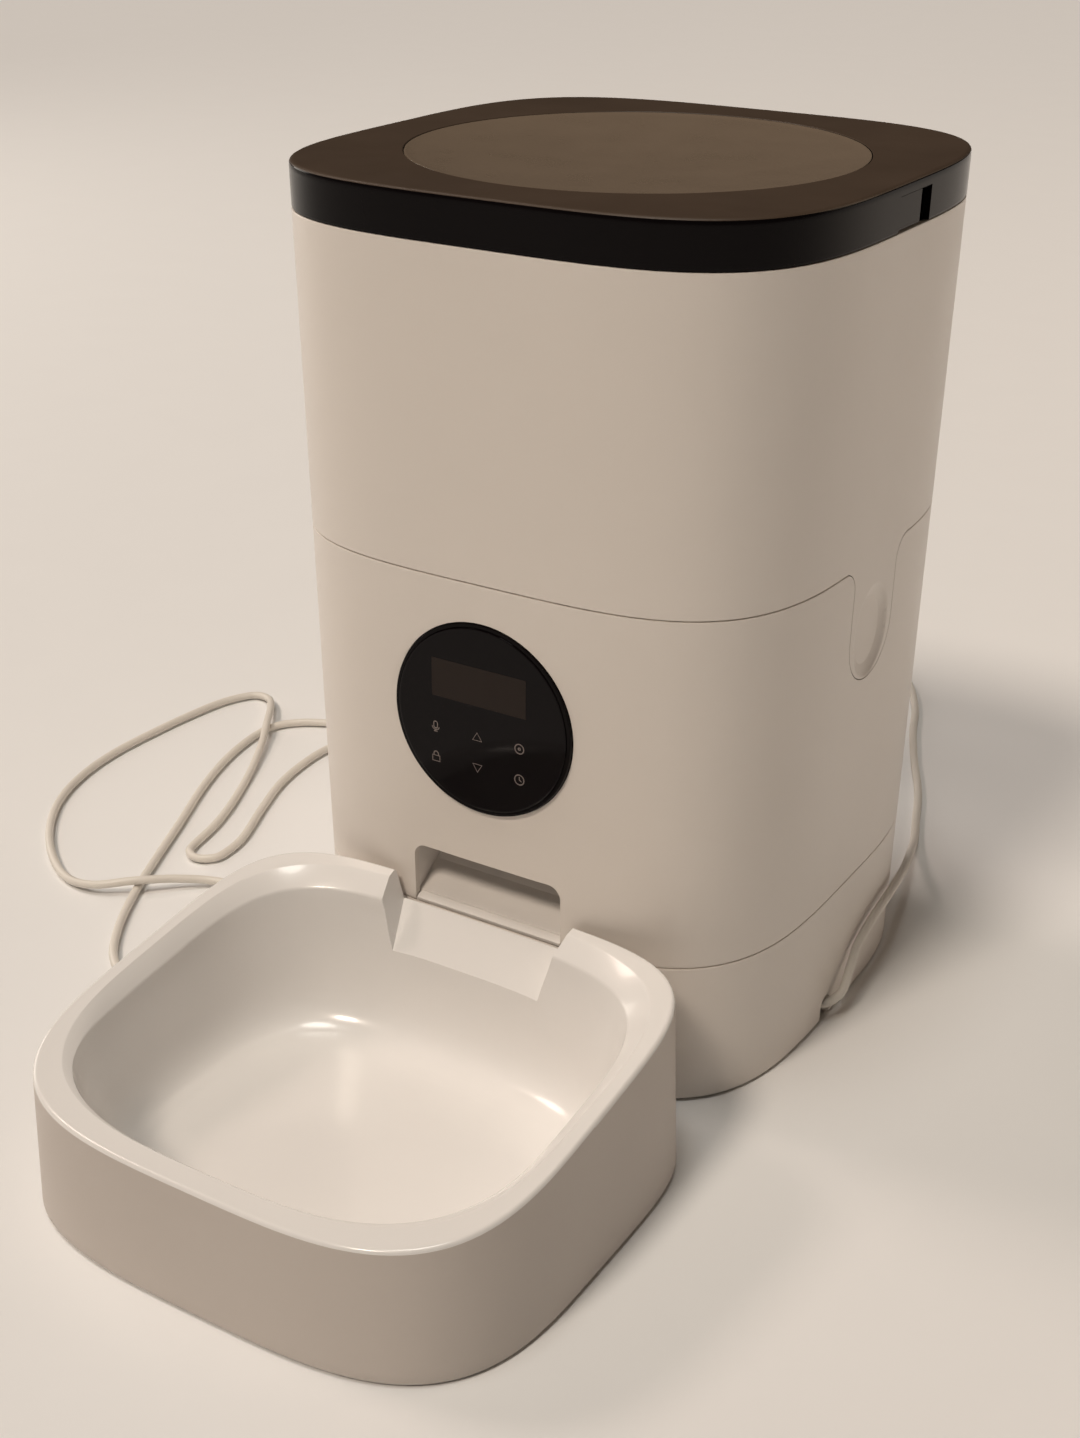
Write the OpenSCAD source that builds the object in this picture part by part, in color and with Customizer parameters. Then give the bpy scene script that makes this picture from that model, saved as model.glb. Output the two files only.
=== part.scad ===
// Automatic pet feeder: a drafted square-round tower with a lift-off hopper and lid, a docked
// food bowl and a sprung-lid latch on each side. Origin: middle of the underside, on the rotor's
// axis. +Z up, the bowl and the control panel towards -Y.

/* [Body] */
// Half width of the tower where it meets the floor
half_w = 95; // [93:0.5:97]
// Growth of the half width per mm of height
draft = 0.0157; // [0.012:0.0005:0.018]
// Squareness of the plan: 2 is round, higher is squarer
squareness = 3.7; // [3.5:0.1:4.2]
// Overall height with the lid on
total_h = 311; // [309:0.5:316]
// Height of the joint between the lower tray and the base shell
tray_h = 56; // [54:0.5:58]
// Height of the joint between the base shell and the hopper
hopper_z = 185.6; // [184:0.2:188]
// Thickness of the outer walls
wall = 2.5; // [2.2:0.1:2.8]
// Gap left at each joint line between shells
seam = 0.4; // [0.3:0.05:0.5]

/* [Side tongues] */
// Half width of the hopper tongue that drops into each side of the base
tongue_w = 17.5; // [16:0.5:19]
// Height of the lowest point of the tongue
tongue_z = 139.5; // [138:0.5:142]
// Radius where the tongue flares into the joint line
flare_r = 9; // [6:0.5:10]
// Depth of the thumb dimple in the tongue
dimple_depth = 3; // [2:0.25:3.5]

/* [Lid] */
// Height of the lid's visible side
lid_h = 15.4; // [14.5:0.1:16]
// Radius of the round dish in the lid's top
dish_r = 78.6; // [74:0.2:80]
// Depth of the dish at its middle
dish_depth = 5; // [3:0.25:6]
// Length of each press button along the lid's side
button_len = 18; // [16:0.5:20]
// Inward travel of a press button
button_travel = 2.5; // [1.5:0.25:2.5]

/* [Bowl] */
// Half width of the bowl at its foot
bowl_half_w = 94.5; // [92:0.5:95]
// Half length of the bowl, front to back, at its foot
bowl_half_l = 81.4; // [80:0.1:81.4]
// Rim height at the front
bowl_front_h = 48; // [46:0.5:50]
// Rim height at the back, against the tower
bowl_back_h = 68; // [66:0.5:69]
// Height of the bowl's inner floor
bowl_floor = 9; // [8:0.5:10]

/* [Outlet and panel] */
// Half width of the food outlet
outlet_w = 30.5; // [28:0.5:31]
// Top of the food outlet
outlet_top = 80; // [78:0.5:81]
// Lower edge of the food outlet
outlet_low = 54; // [53:0.5:55]
// Height of the middle of the round panel
panel_z = 136.5; // [135:0.5:138]
// Radius of the round panel
panel_r = 35.8; // [34:0.2:36]

/* [Feed drive] */
// Number of rotor paddles
paddles = 8; // [6:1:9]
// Reach of the rotor paddles
paddle_r = 57.5; // [54:0.5:58]
// Gear module
gear_module = 1; // [1:1:1]
// Teeth on the output gear
output_teeth = 38; // [38:1:38]
// Teeth on the idler's large wheel
idler_teeth = 36; // [36:1:36]
// Teeth on the idler's small wheel and on the motor pinion
pinion_teeth = 12; // [12:1:12]

/* [Power lead] */
// Diameter of the lead
cord_d = 3.6; // [3.2:0.1:3.8]

/* [Hidden] */
$fn = 64;

foot_h = 0.8;                    // tray's underside above the floor
floor_t = 2.5;                   // tray's floor
tray_floor = foot_h + floor_t;
lid_z = total_h - lid_h;         // joint between hopper and lid
deck_z = 131;                    // underside of the inner frame's deck
deck_t = 3;
cup_z = 138.5;                   // underside of the metering cup
cup_r = 60;                      // inside radius of the metering cup
cup_top = 176;
funnel_top = 236;
steps = 72;                      // flats round a square-round plan

inner_turn = 0.2;                // part of a step that an inner wall's corners are turned by

// Corner i of a square-round plan whose half width is 1: every flat turns by the same angle
function corner(i, n) =
    let (a = 360 * (i + 0.5) / steps,
         c = pow(abs(cos(a)), 1 / (n - 1)), s = pow(abs(sin(a)), 1 / (n - 1)),
         k = pow(pow(c, n) + pow(s, n), -1 / n))
    k * [c * sign(cos(a)), s * sign(sin(a))];
function outline(r, turn = 0) = [for (i = [0 : steps - 1]) r * corner(i + turn, squareness)];
function half_at(z) = half_w + draft * z;

// A drafted block of the tower's plan from z0 to z1, drawn in by inset
module tower(z0, z1, inset = 0, turn = 0) {
    low = half_at(z0) - inset;
    high = half_at(z1) - inset;
    translate([0, 0, z0]) linear_extrude(height = z1 - z0, scale = high / low)
        polygon(outline(low, turn));
}

// A square-round solid through rings of [height, half width]
module loft(rings) {
    n = len(rings);
    points = [for (r = rings) for (p = outline(r[1])) [p[0], p[1], r[0]]];
    sides = [for (i = [0 : n - 2]) for (k = [0 : steps - 1])
        let (a = i * steps + k, b = i * steps + (k + 1) % steps) [a, a + steps, b + steps, b]];
    ends = [[for (k = [0 : steps - 1]) k],
            [for (k = [steps - 1 : -1 : 0]) (n - 1) * steps + k]];
    polyhedron(points, concat(sides, ends), convexity = 4);
}

module tower_ring(z0, z1, inset, thick) {
    difference() {
        tower(z0, z1, inset);
        tower(z0, z1, inset + thick, inner_turn);
    }
}

module block(low, high) {
    translate(low) cube(high - low);
}

// A profile in Y and Z, drawn out along X from x0 to x1
module along_x(x0, x1) {
    translate([x0, 0, 0]) rotate([90, 0, 90]) linear_extrude(height = x1 - x0) children();
}

// A rod along Y, from y0 towards +Y
module rod_y(x, y0, y1, z, r) {
    translate([x, y0, z]) rotate([-90, 0, 0]) cylinder(h = y1 - y0, r = r);
}

// A rod along X, from x0 towards +X
module rod_x(x0, x1, y, z, r, r_end = -1) {
    translate([x0, y, z]) rotate([0, 90, 0])
        cylinder(h = x1 - x0, r1 = r, r2 = r_end < 0 ? r : r_end);
}

module post(p, z0, z1, r) {
    translate([p[0], p[1], z0]) cylinder(h = z1 - z0, r = r);
}

// ---------------------------------------------------------------- side tongues
// Outline of a side tongue in Y and Z: a round-ended tab that flares into the joint line
function tongue(grow) =
    let (w = tongue_w + grow, r = flare_r, low = tongue_z - grow + w, top = hopper_z)
    concat([for (a = [0 : 15 : 90]) [-w - r + r * sin(a), top - r + r * cos(a)]],
           [for (a = [180 : 15 : 360]) [w * cos(a), low + w * sin(a)]],
           [for (a = [90 : -15 : 0]) [w + r - r * sin(a), top - r + r * cos(a)]],
           [[w + r, top + 3], [-w - r, top + 3]]);

module tongues(grow) {
    for (side = [-1, 1])
        along_x(side > 0 ? 80 : -110, side > 0 ? 110 : -80) polygon(tongue(grow));
}

dimple_z = tongue_z + 18;
dimple_h = 17;
dimple_w = 12.5;

// Ellipsoid that presses the thumb dimple into a tongue
module dimple(side, grow) {
    translate([side * half_at(dimple_z), 0, dimple_z])
        scale([(dimple_depth + grow) / 10, (dimple_w + grow) / 10, (dimple_h + grow) / 10])
            sphere(r = 10, $fn = 40);
}

// ---------------------------------------------------------------- base
panel_hole_r = panel_r + 0.3;

module outlet_hole() {
    r = 5;
    translate([0, -80, 0]) rotate([90, 0, 0]) linear_extrude(height = 30) union() {
        polygon(concat([[-outlet_w, outlet_low], [outlet_w, outlet_low]],
            [for (a = [0 : 15 : 90]) [outlet_w - r + r * cos(a), outlet_top - r + r * sin(a)]],
            [for (a = [90 : 15 : 180]) [r - outlet_w + r * cos(a), outlet_top - r + r * sin(a)]]));
    }
}

module base_shell() {
    color("whitesmoke") difference() {
        tower_ring(tray_h + seam / 2, hopper_z - seam / 2, 0, wall);
        tongues(seam);
        outlet_hole();
        rod_y(0, -110, -80, panel_z, panel_hole_r);
    }
}

leg_at = [for (x = [-76, 76], y = [-46, 46]) [x, y]];
foot_at = [[0, 0], [-72, -70], [72, -70], [-72, 70], [72, 70]];
cell_x = 54;                     // battery bay: half width, and its two ends
cell_y0 = 12;
cell_y1 = 84;
cell_top = 40;
duct_x0 = 40;                    // lead duct under the tray
duct_y0 = -20;
duct_y1 = 4;
duct_top = 11.6;
plug_y = -10;
plug_z = 6.5;
peg_x = 50;                      // pegs that the bowl docks on
peg_z = 20;

module base_tray() {
    lip_z = tray_h - 6;
    color("whitesmoke") difference() {
        union() {
            tower_ring(foot_h, tray_h - seam / 2, 0, wall);
            tower(foot_h, tray_floor, 1);
            tower_ring(lip_z, tray_h - 1, wall - 0.5, 2.5);
            tower_ring(lip_z, tray_h + 4, wall + 0.4, 1.6);
            block([-cell_x - 2, cell_y0 - 2, foot_h + 1], [cell_x + 2, cell_y1 + 2, cell_top + 2]);
            block([duct_x0 - 12, duct_y0 - 2, foot_h + 1], [half_w - 1, duct_y1 + 2, duct_top + 2]);
            for (x = [-peg_x, peg_x]) rod_y(x, -101, -88, peg_z, 3);
        }
        block([-cell_x, cell_y0, -1], [cell_x, cell_y1, cell_top]);
        block([-cell_x, cell_y0, -1], [cell_x, 110, tray_floor]);
        block([duct_x0, duct_y0, -1], [half_w - wall, duct_y1, duct_top]);
        block([duct_x0 - 10, plug_y - 6, foot_h + 1], [duct_x0 + 1, plug_y + 6, duct_top]);
        rod_x(80, 110, plug_y + 1, plug_z, 4);
        block([80, plug_y - 3, -1], [110, plug_y + 5, plug_z]);
        block([-outlet_w - 5, -110, tray_h - seam / 2], [outlet_w + 5, -80, tray_h + 5]);
        for (p = foot_at) post(p, -1, foot_h + 1.5, 7);
        for (p = leg_at) {
            post(p, -1, foot_h + 1.2, 3.4);
            post(p, -1, tray_floor + 1, 1.6);
        }
    }
}

module rubber_feet() {
    color("dimgray") for (p = foot_at) post(p, 0, foot_h + 1.5, 7);
}

// Deck that carries the hopper, on four legs that stand on the tray
module inner_frame() {
    color("gainsboro") difference() {
        union() {
            tower(deck_z, deck_z + deck_t, wall + 0.6);
            for (p = leg_at) post(p, tray_floor, deck_z + 1, 5);
            post([0, 0], deck_z, cup_z - 0.5, 14);
        }
        post([0, 0], deck_z - 1, cup_z + 1, 8.4);
        block([-27, -60, deck_z - 1], [27, -30, deck_z + deck_t + 1]);
        block([-41, -110, deck_z - 1], [41, -77, deck_z + deck_t + 1]);
        for (p = leg_at) post(p, tray_floor - 1, tray_floor + 14, 1.5);
    }
}

module frame_screws() {
    color("silver") for (p = leg_at) difference() {
        union() {
            post(p, foot_h - 0.2, foot_h + 1.2, 3.2);
            post(p, foot_h + 1, tray_floor + 12, 1.45);
        }
        translate([p[0], p[1], foot_h - 1]) for (a = [0, 90]) rotate(a)
            translate([-2, -0.4, 0]) cube([4, 0.8, 1.6]);
    }
}

// ---------------------------------------------------------------- food chute
chute_w = outlet_w + 0.5;
chute_t = 2;
chute_front = -92.6;

// Side profile of the space that the food falls through
chute_inside = [[chute_front - 2, 58], [-81, 66.5], [-71, 78], [-47, 88], [-38, 98], [-34, 109],
                [-33, deck_z], [-57, deck_z], [-58, 113], [-65, 101], [-77, 90],
                [chute_front - 2, 82]];
chute_outside = [[chute_front, 56.4], [-80, 64], [-70, 75.6], [-45.5, 86], [-36, 97], [-32, 108.5],
                 [-31, deck_z - 0.2], [-59, deck_z - 0.2], [-60, 113.5], [-66.5, 102.4],
                 [-78, 92], [chute_front, 84.4]];

module food_chute() {
    color("white") difference() {
        union() {
            along_x(-chute_w - chute_t, chute_w + chute_t) polygon(chute_outside);
            along_x(0.3 - outlet_w, outlet_w - 0.3)
                polygon([[-95.5, 56.4], [-88, 56.4], [-88, 61], [-95.5, 57.4]]);
        }
        along_x(-chute_w, chute_w) polygon(chute_inside);
        block([-26, -57, deck_z - 3], [26, -33, deck_z + 1]);
        for (side = [-1, 1]) rod_x(side * chute_w - 3, side * chute_w + 3, -62, 88, 2.6);
    }
}

// Light-beam pair that sees food pass, one half in each chute wall
module chute_sensors() {
    color("midnightblue") for (side = [-1, 1]) {
        x0 = side > 0 ? chute_w + 0.3 : -chute_w - 7;
        rod_x(x0, x0 + 6.7, -62, 88, 2.5);
        block([side > 0 ? chute_w + 5 : -chute_w - 7, -66, 83],
              [side > 0 ? chute_w + 7 : -chute_w - 5, -58, 93]);
    }
}

// ---------------------------------------------------------------- gear train
pressure = 25;
backlash = 0.9;                  // degrees taken off each tooth, times 10 over the tooth count
function inv(a) = tan(a) * 180 / PI - a;
function flank(t, rb, r) = r <= rb ? 0 : inv(acos(rb / r));

// Half angle of a tooth of a t-tooth gear at radius r
function tooth_half(t, r) =
    let (rp = gear_module * t / 2, rb = rp * cos(pressure))
    90 / t - backlash * 10 / t / 2 + inv(pressure) - flank(t, rb, r);

function gear_points(t, phase) =
    let (rp = gear_module * t / 2, tip = rp + gear_module, root = rp - 1.25 * gear_module,
         radii = [for (k = [0 : 3]) root + (tip - root) * k / 3])
    [for (i = [0 : t - 1])
        for (s = [-1, 1])
            for (k = s < 0 ? [0 : 3] : [3 : -1 : 0])
                let (a = phase + 360 * i / t + s * tooth_half(t, radii[k]))
                radii[k] * [cos(a), sin(a)]];

module gear(t, z0, z1, phase) {
    translate([0, 0, z0]) linear_extrude(height = z1 - z0) polygon(gear_points(t, phase));
}

idler_y = gear_module * (output_teeth + pinion_teeth) / 2;
motor_y = idler_y + gear_module * (idler_teeth + pinion_teeth) / 2;
half_pitch = 180 / pinion_teeth;
plate_z = 97;                    // gearbox: underside of its floor, and of its cover
plate_t = 2.5;
cover_z = 122;
dog_af = 9.6;                    // hexagon that drives the rotor, across flats
dog_top = 149;
screw_at = [for (x = [-22.5, 22.5], y = [-19.5, 59.5]) [x, y]];

module gear_box_plan(z0, z1) {
    translate([0, 0, z0]) linear_extrude(height = z1 - z0)
        polygon([[-27, -20], [-23, -24], [23, -24], [27, -20], [27, 60], [23, 64], [-23, 64],
                 [-27, 60]]);
}

module gear_housing() {
    color("lightgray") difference() {
        gear_box_plan(plate_z, cover_z);
        difference() {
            translate([0, 0, plate_z + plate_t]) linear_extrude(height = 40)
                polygon([[-25, -18], [-21, -22], [21, -22], [25, -18], [25, 58], [21, 62],
                         [-21, 62], [-25, 58]]);
            for (p = screw_at) post(p, plate_z, cover_z, 3.6);
        }
        post([0, 0], plate_z - 1, cover_z, 3.05);
        post([0, idler_y], plate_z - 1, cover_z, 1.5);
        post([0, motor_y], plate_z - 1, cover_z, 4.05);
        for (p = screw_at) post(p, plate_z - 1, cover_z + 1, 1.6);
    }
}

module gear_cover() {
    color("lightgray") difference() {
        union() {
            gear_box_plan(cover_z, cover_z + plate_t);
            for (p = screw_at) post(p, cover_z + 1, deck_z, 4);
        }
        post([0, 0], cover_z - 1, deck_z, 8);
        post([0, idler_y], cover_z - 1, deck_z, 1.5);
        for (p = screw_at) post(p, cover_z - 1, cover_z + 6, 1.5);
    }
}

module drive_bush() {
    color("goldenrod") difference() {
        post([0, 0], cover_z, cover_z + plate_t + 1, 8);
        post([0, 0], cover_z - 1, cover_z + plate_t + 2, 6.05);
    }
}

module gear_screws() {
    color("silver") for (p = screw_at) {
        post(p, plate_z - 1.8, plate_z, 2.8);
        post(p, plate_z - 0.5, cover_z + 5, 1.45);
    }
}

module idler_pin() {
    color("silver") post([0, idler_y], plate_z, cover_z + plate_t, 1.5);
}

module feed_motor() {
    color("silver") difference() {
        union() {
            post([0, motor_y], 64, 95.5, 12);
            post([0, motor_y], 95, plate_z + 1.5, 4);
            post([0, motor_y], 61, 64.5, 5);
            for (x = [-7, 7]) block([x - 1.2, motor_y - 0.3, 59], [x + 1.2, motor_y + 0.3, 65]);
        }
        post([0, motor_y], 84, plate_z + 3, 1.05);
    }
}

module motor_shaft() {
    color("gainsboro") post([0, motor_y], 84.5, plate_z + 11, 1);
}

module motor_pinion() {
    color("ivory") translate([0, motor_y, 0]) difference() {
        gear(pinion_teeth, plate_z + 4.5, plate_z + 11, 270 + half_pitch);
        post([0, 0], plate_z + 4, plate_z + 12, 1);
    }
}

module idler_gear() {
    color("ivory") translate([0, idler_y, 0]) difference() {
        union() {
            gear(idler_teeth, plate_z + 4.5, plate_z + 10, 90);
            gear(pinion_teeth, plate_z + 9, cover_z - 1.5, 270 + half_pitch);
            post([0, 0], plate_z + plate_t + 0.3, cover_z - 0.4, 3.6);
        }
        post([0, 0], plate_z, cover_z + 1, 1.55);
    }
}

module output_gear() {
    color("ivory") union() {
        gear(output_teeth, plate_z + 12, cover_z - 2, 90);
        post([0, 0], plate_z + 11, cover_z - 0.4, 7.4);
        post([0, 0], plate_z + 0.2, plate_z + 12, 3);
        post([0, 0], cover_z - 1, cover_z + plate_t + 1.6, 6);
        translate([0, 0, cover_z + 3]) rotate(30)
            cylinder(h = dog_top - cover_z - 3, r = dog_af / sqrt(3), $fn = 6);
    }
}

magnet_x = 12;

module drive_magnet() {
    color("dimgray") post([magnet_x, 0], cover_z - 2, cover_z - 0.6, 2.5);
}

// Hall sensor on the gearbox cover, above the magnet's path
module position_sensor() {
    color("darkgreen") union() {
        block([13, -11, cover_z + plate_t], [24, 7, cover_z + plate_t + 1.6]);
        block([15, -3, cover_z + plate_t + 1.6], [19, 1, cover_z + plate_t + 3]);
    }
}

// ---------------------------------------------------------------- control panel
panel_y = -98.4;                 // front of the lens

module panel_bezel() {
    color("black") difference() {
        union() {
            rod_y(0, panel_y + 0.4, -91.5, panel_z, panel_r);
            rod_y(0, -93.2, -90.6, panel_z, panel_r + 3);
        }
        rod_y(0, panel_y - 1, panel_y + 2.4, panel_z, panel_r - 1.5);
        rod_y(0, panel_y, -90, panel_z, panel_r - 3.2);
    }
}

module panel_lens() {
    color("black") rod_y(0, panel_y, panel_y + 2.3, panel_z, panel_r - 1.6);
}

module lcd_module() {
    color("darkslategray") union() {
        block([-23, panel_y + 2.5, panel_z + 3], [21, panel_y + 5, panel_z + 22]);
        block([-20, panel_y + 2.4, panel_z + 5.5], [18.5, panel_y + 3, panel_z + 19.5]);
    }
}

module touch_board() {
    color("darkgreen") rod_y(0, panel_y + 6, panel_y + 7.4, panel_z, panel_r - 3.6);
}

module microphone() {
    color("silver") rod_y(-20, panel_y + 7.4, panel_y + 9.4, panel_z - 14, 2.2);
}

module main_board() {
    color("darkgreen") difference() {
        block([-36, -84, 103], [36, -82.4, 166]);
        for (x = [-32, 32], z = [107, 162]) rod_y(x, -86, -80, z, 1.7);
    }
}

module board_parts() {
    color("dimgray") {
        rod_y(-24, -82.4, -72.4, 152, 4);
        rod_y(-12, -82.4, -72.4, 152, 4);
        block([-8, -82.4, 120], [8, -80.6, 136]);
        block([16, -82.4, 110], [30, -76, 117]);
        for (x = [14 : 5 : 29]) block([x, -82.4, 148], [x + 3, -81, 151]);
    }
}

module speaker() {
    color("dimgray") union() {
        rod_y(58, -82, -78, 114, 14);
        rod_y(58, -79, -72, 114, 8);
    }
}

// ---------------------------------------------------------------- power inlet and battery bay
module battery_contacts() {
    color("silver") for (x = [-36, 0, 36]) {
        block([x - 9, cell_y0, 8], [x + 9, cell_y0 + 0.5, 30]);
        block([x - 9, cell_y1 - 0.5, 8], [x + 9, cell_y1, 30]);
        for (k = [0 : 3]) translate([x, cell_y0 + 0.5 + 0.9 * (k + 1), 20]) rotate([90, 0, 0])
            rotate_extrude($fn = 32) translate([6 - 0.9 * k, 0]) square([1, 0.9]);
    }
}

// Sliding door under the battery bay, which runs out through the back of the tray
module battery_door() {
    color("whitesmoke") difference() {
        intersection() {
            tower(foot_h + 0.1, tray_floor - 0.3, 0.1);
            block([-cell_x + 0.4, cell_y0 + 0.4, 0], [cell_x - 0.4, 110, tray_floor]);
        }
        for (k = [0 : 4]) block([-14, cell_y1 - 16 + 3 * k, -1], [14, cell_y1 - 14.6 + 3 * k, 1.5]);
    }
}

module dc_jack() {
    color("dimgray") difference() {
        block([duct_x0 - 10, plug_y - 6, foot_h + 1], [duct_x0, plug_y + 6, duct_top]);
        rod_x(duct_x0 - 9, duct_x0 + 1, plug_y, plug_z, 2.8);
    }
}

// Barrel plug with its grip and its tapered strain relief
module dc_plug() {
    color("gainsboro") union() {
        rod_x(duct_x0 - 8, duct_x0 + 1, plug_y, plug_z, 2.75);
        rod_x(duct_x0 + 0.3, duct_x0 + 16, plug_y, plug_z, 4.4);
        rod_x(duct_x0 + 16, duct_x0 + 36, plug_y, plug_z, 3.6, cord_d / 2 + 0.3);
    }
}

// ---------------------------------------------------------------- power lead
floor_z = 2.2;                    // height of the lead's middle where it lies on the floor
over_z = 6.2;                     // and where it crosses over itself
cord_start = duct_x0 + 36;

// The lead's route: out of the side, up against the tower, back along the floor, round behind
// the tower, forward on the left, one turn behind the bowl, one open loop, and back to the adapter
route = [
    [cord_start, -10, 6.5], [88, -10, 6.5], [95, -9.5, 7], [101, -5, 12], [101, 2, 21],
    [99.5, 12, 28], [98.5, 26, 30], [98, 42, 28], [96, 60, 21], [92, 79, 12], [87, 97, 5],
    [80, 118, floor_z], [70, 148, floor_z], [54, 184, floor_z], [34, 225, floor_z],
    [19, 264, floor_z], [6, 290, floor_z], [-10, 308, floor_z], [-32, 313, floor_z],
    [-56, 300, floor_z], [-78, 270, floor_z], [-98, 232, floor_z], [-120, 195, floor_z],
    [-145, 158, floor_z], [-175, 122, floor_z], [-205, 99, floor_z], [-228, 87, floor_z],
    [-238, 72, floor_z], [-236, 45, floor_z], [-226, 12, floor_z], [-210, -25, floor_z],
    [-199, -51, floor_z], [-187, -78, floor_z], [-173, -104, floor_z], [-158, -123, floor_z],
    [-140, -132, floor_z], [-122, -128, floor_z], [-111, -113, floor_z], [-109, -93, floor_z],
    [-116, -74, floor_z], [-130, -59, floor_z], [-147, -53, floor_z], [-163, -56, 3],
    [-176, -66, 5], [-188, -78, over_z], [-203, -87, 4], [-219, -86, floor_z],
    [-238, -75, floor_z], [-256, -58, floor_z], [-270, -38, floor_z], [-279, -15, floor_z],
    [-283, 12, floor_z], [-282, 44, floor_z], [-279, 72, floor_z], [-275, 88, floor_z],
    [-268, 99, floor_z], [-258, 98, 3], [-248, 87, 5], [-238, 72, over_z], [-226, 52, 4],
    [-214, 28, floor_z], [-203, 3, floor_z], [-196, -17, floor_z], [-192, -36, floor_z],
    [-189.5, -41.5, floor_z], [-184, -44, floor_z], [-178.5, -41.5, floor_z], [-176, -36, floor_z],
    [-178, -20, floor_z], [-187, 3, floor_z],
    [-196, 28, floor_z], [-200, 50, floor_z], [-200, 70, floor_z], [-193, 85, floor_z],
    [-178, 93, floor_z], [-158, 98, floor_z], [-136, 108, floor_z], [-116, 126, floor_z],
    [-104, 150, floor_z], [-100, 174, 3], [-97, 190, 5],
    [-91, 202, 7.5], [-84, 206, 8], [-78, 206, 8]];

function unit(v) = v / norm(v);
function heading(p, i) = unit(p[min(len(p) - 1, i + 1)] - p[max(0, i - 1)]);

// Ring of points round the path at point i
function ring(p, i, r, sides) =
    let (h = heading(p, i), across = unit(cross(h, [0, 0, 1])), up = cross(across, h))
    [for (k = [0 : sides - 1]) let (a = 360 * k / sides)
        p[i] + r * (cos(a) * across + sin(a) * up)];

module tube(p, r, sides) {
    n = len(p);
    points = [for (i = [0 : n - 1]) each ring(p, i, r, sides)];
    sides_of = [for (i = [0 : n - 2]) for (k = [0 : sides - 1])
        let (a = i * sides + k, b = i * sides + (k + 1) % sides)
        each [[a, a + sides, b], [b, a + sides, b + sides]]];
    caps = [[for (k = [0 : sides - 1]) k],
            [for (k = [sides - 1 : -1 : 0]) (n - 1) * sides + k]];
    polyhedron(points, concat(sides_of, caps), convexity = 10);
}

module power_cord() {
    color("white") tube(route, cord_d / 2, 8);
}

adapter_x = -55;                  // adapter's end nearest the lead
adapter_y = 206;
adapter_z = 8;

module adapter_relief() {
    color("white") rod_x(adapter_x - 23, adapter_x, adapter_y, adapter_z, cord_d / 2 + 0.3, 3.8);
}

module adapter_body() {
    color("white") hull() {
        for (y = [adapter_y - 12, adapter_y + 24], z = [5, 23])
            rod_x(adapter_x + 3, adapter_x + 45, y, z, 4.9);
        for (y = [adapter_y - 11, adapter_y + 23], z = [6, 22])
            rod_x(adapter_x, adapter_x + 48, y, z, 4);
    }
}

module adapter_blades() {
    color("silver") for (y = [adapter_y - 0.35, adapter_y + 12.35])
        difference() {
            block([adapter_x + 48, y - 0.75, 10.8], [adapter_x + 64, y + 0.75, 17.2]);
            rod_y(adapter_x + 60, y - 2, y + 2, 14, 1.5);
        }
}

// ---------------------------------------------------------------- hopper
module hopper_shell() {
    low = hopper_z + seam / 2;
    color("whitesmoke") difference() {
        union() {
            tower_ring(low, lid_z - 0.3, 0, wall);
            tower_ring(low, low + 7, wall - 0.5, 3.5);
            tower_ring(hopper_z - 9, low + 6, wall + 0.8, 2.2);
            intersection() {
                tower_ring(tongue_z - 2, low + 2, 0, wall);
                tongues(0);
            }
            intersection() {
                tower_ring(tongue_z - 2, low + 5, wall - 0.8, 5.6);
                tongues(-1.5);
            }
        }
        for (side = [-1, 1]) dimple(side, 0);
    }
}

module funnel_solid(grow) {
    hull() {
        tower(funnel_top - 1, funnel_top, wall + 3 - grow);
        post([0, 0], cup_top - 0.01 + 2.4 - grow, cup_top + 3, cup_r + 0.3 + grow);
    }
}

module hopper_funnel() {
    color("white") difference() {
        union() {
            difference() {
                funnel_solid(2.4);
                funnel_solid(0);
            }
            tower_ring(funnel_top - 8, funnel_top, wall + 0.3, 2.5);
        }
        post([0, 0], cup_top - 2, cup_top + 4, cup_r);
    }
}

module metering_cup() {
    color("gainsboro") difference() {
        post([0, 0], cup_z, cup_top - 0.2, cup_r + 2.5);
        post([0, 0], cup_z + 2.5, cup_top + 1, cup_r);
        post([0, 0], cup_z - 1, cup_top, 7.95);
        block([-25, -56, cup_z - 1], [25, -33, cup_z + 3]);
    }
}

// Roof over the cup's drop hole, so that food only leaves between two paddles
module portion_shield() {
    color("lightgray") difference() {
        intersection() {
            post([0, 0], 169.5, 172, cup_r);
            translate([0, 0, 168]) linear_extrude(height = 6)
                polygon([[0, -18], [46, -70], [-46, -70]]);
        }
        post([0, 0], 168, 176, 30);
    }
}

module rotor_hub() {
    color("ivory") difference() {
        union() {
            post([0, 0], cup_z - 1.2, cup_z + 4, 7.9);
            post([0, 0], cup_z + 3, 169, 13);
            post([0, 0], 168, 172, 5);
        }
        translate([0, 0, cup_z - 3]) rotate(30)
            cylinder(h = dog_top + 1 - cup_z + 3, r = (dog_af + 0.5) / sqrt(3), $fn = 6);
    }
}

// Soft paddle wheel on the hub
module rotor_wheel() {
    color("darkgray") difference() {
        union() {
            post([0, 0], cup_z + 3.2, 168, 17);
            for (i = [0 : paddles - 1]) rotate(360 * (i + 0.5) / paddles)
                block([15, -1.3, cup_z + 3.2], [paddle_r, 1.3, 168]);
        }
        post([0, 0], cup_z, 170, 13);
    }
}

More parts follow.
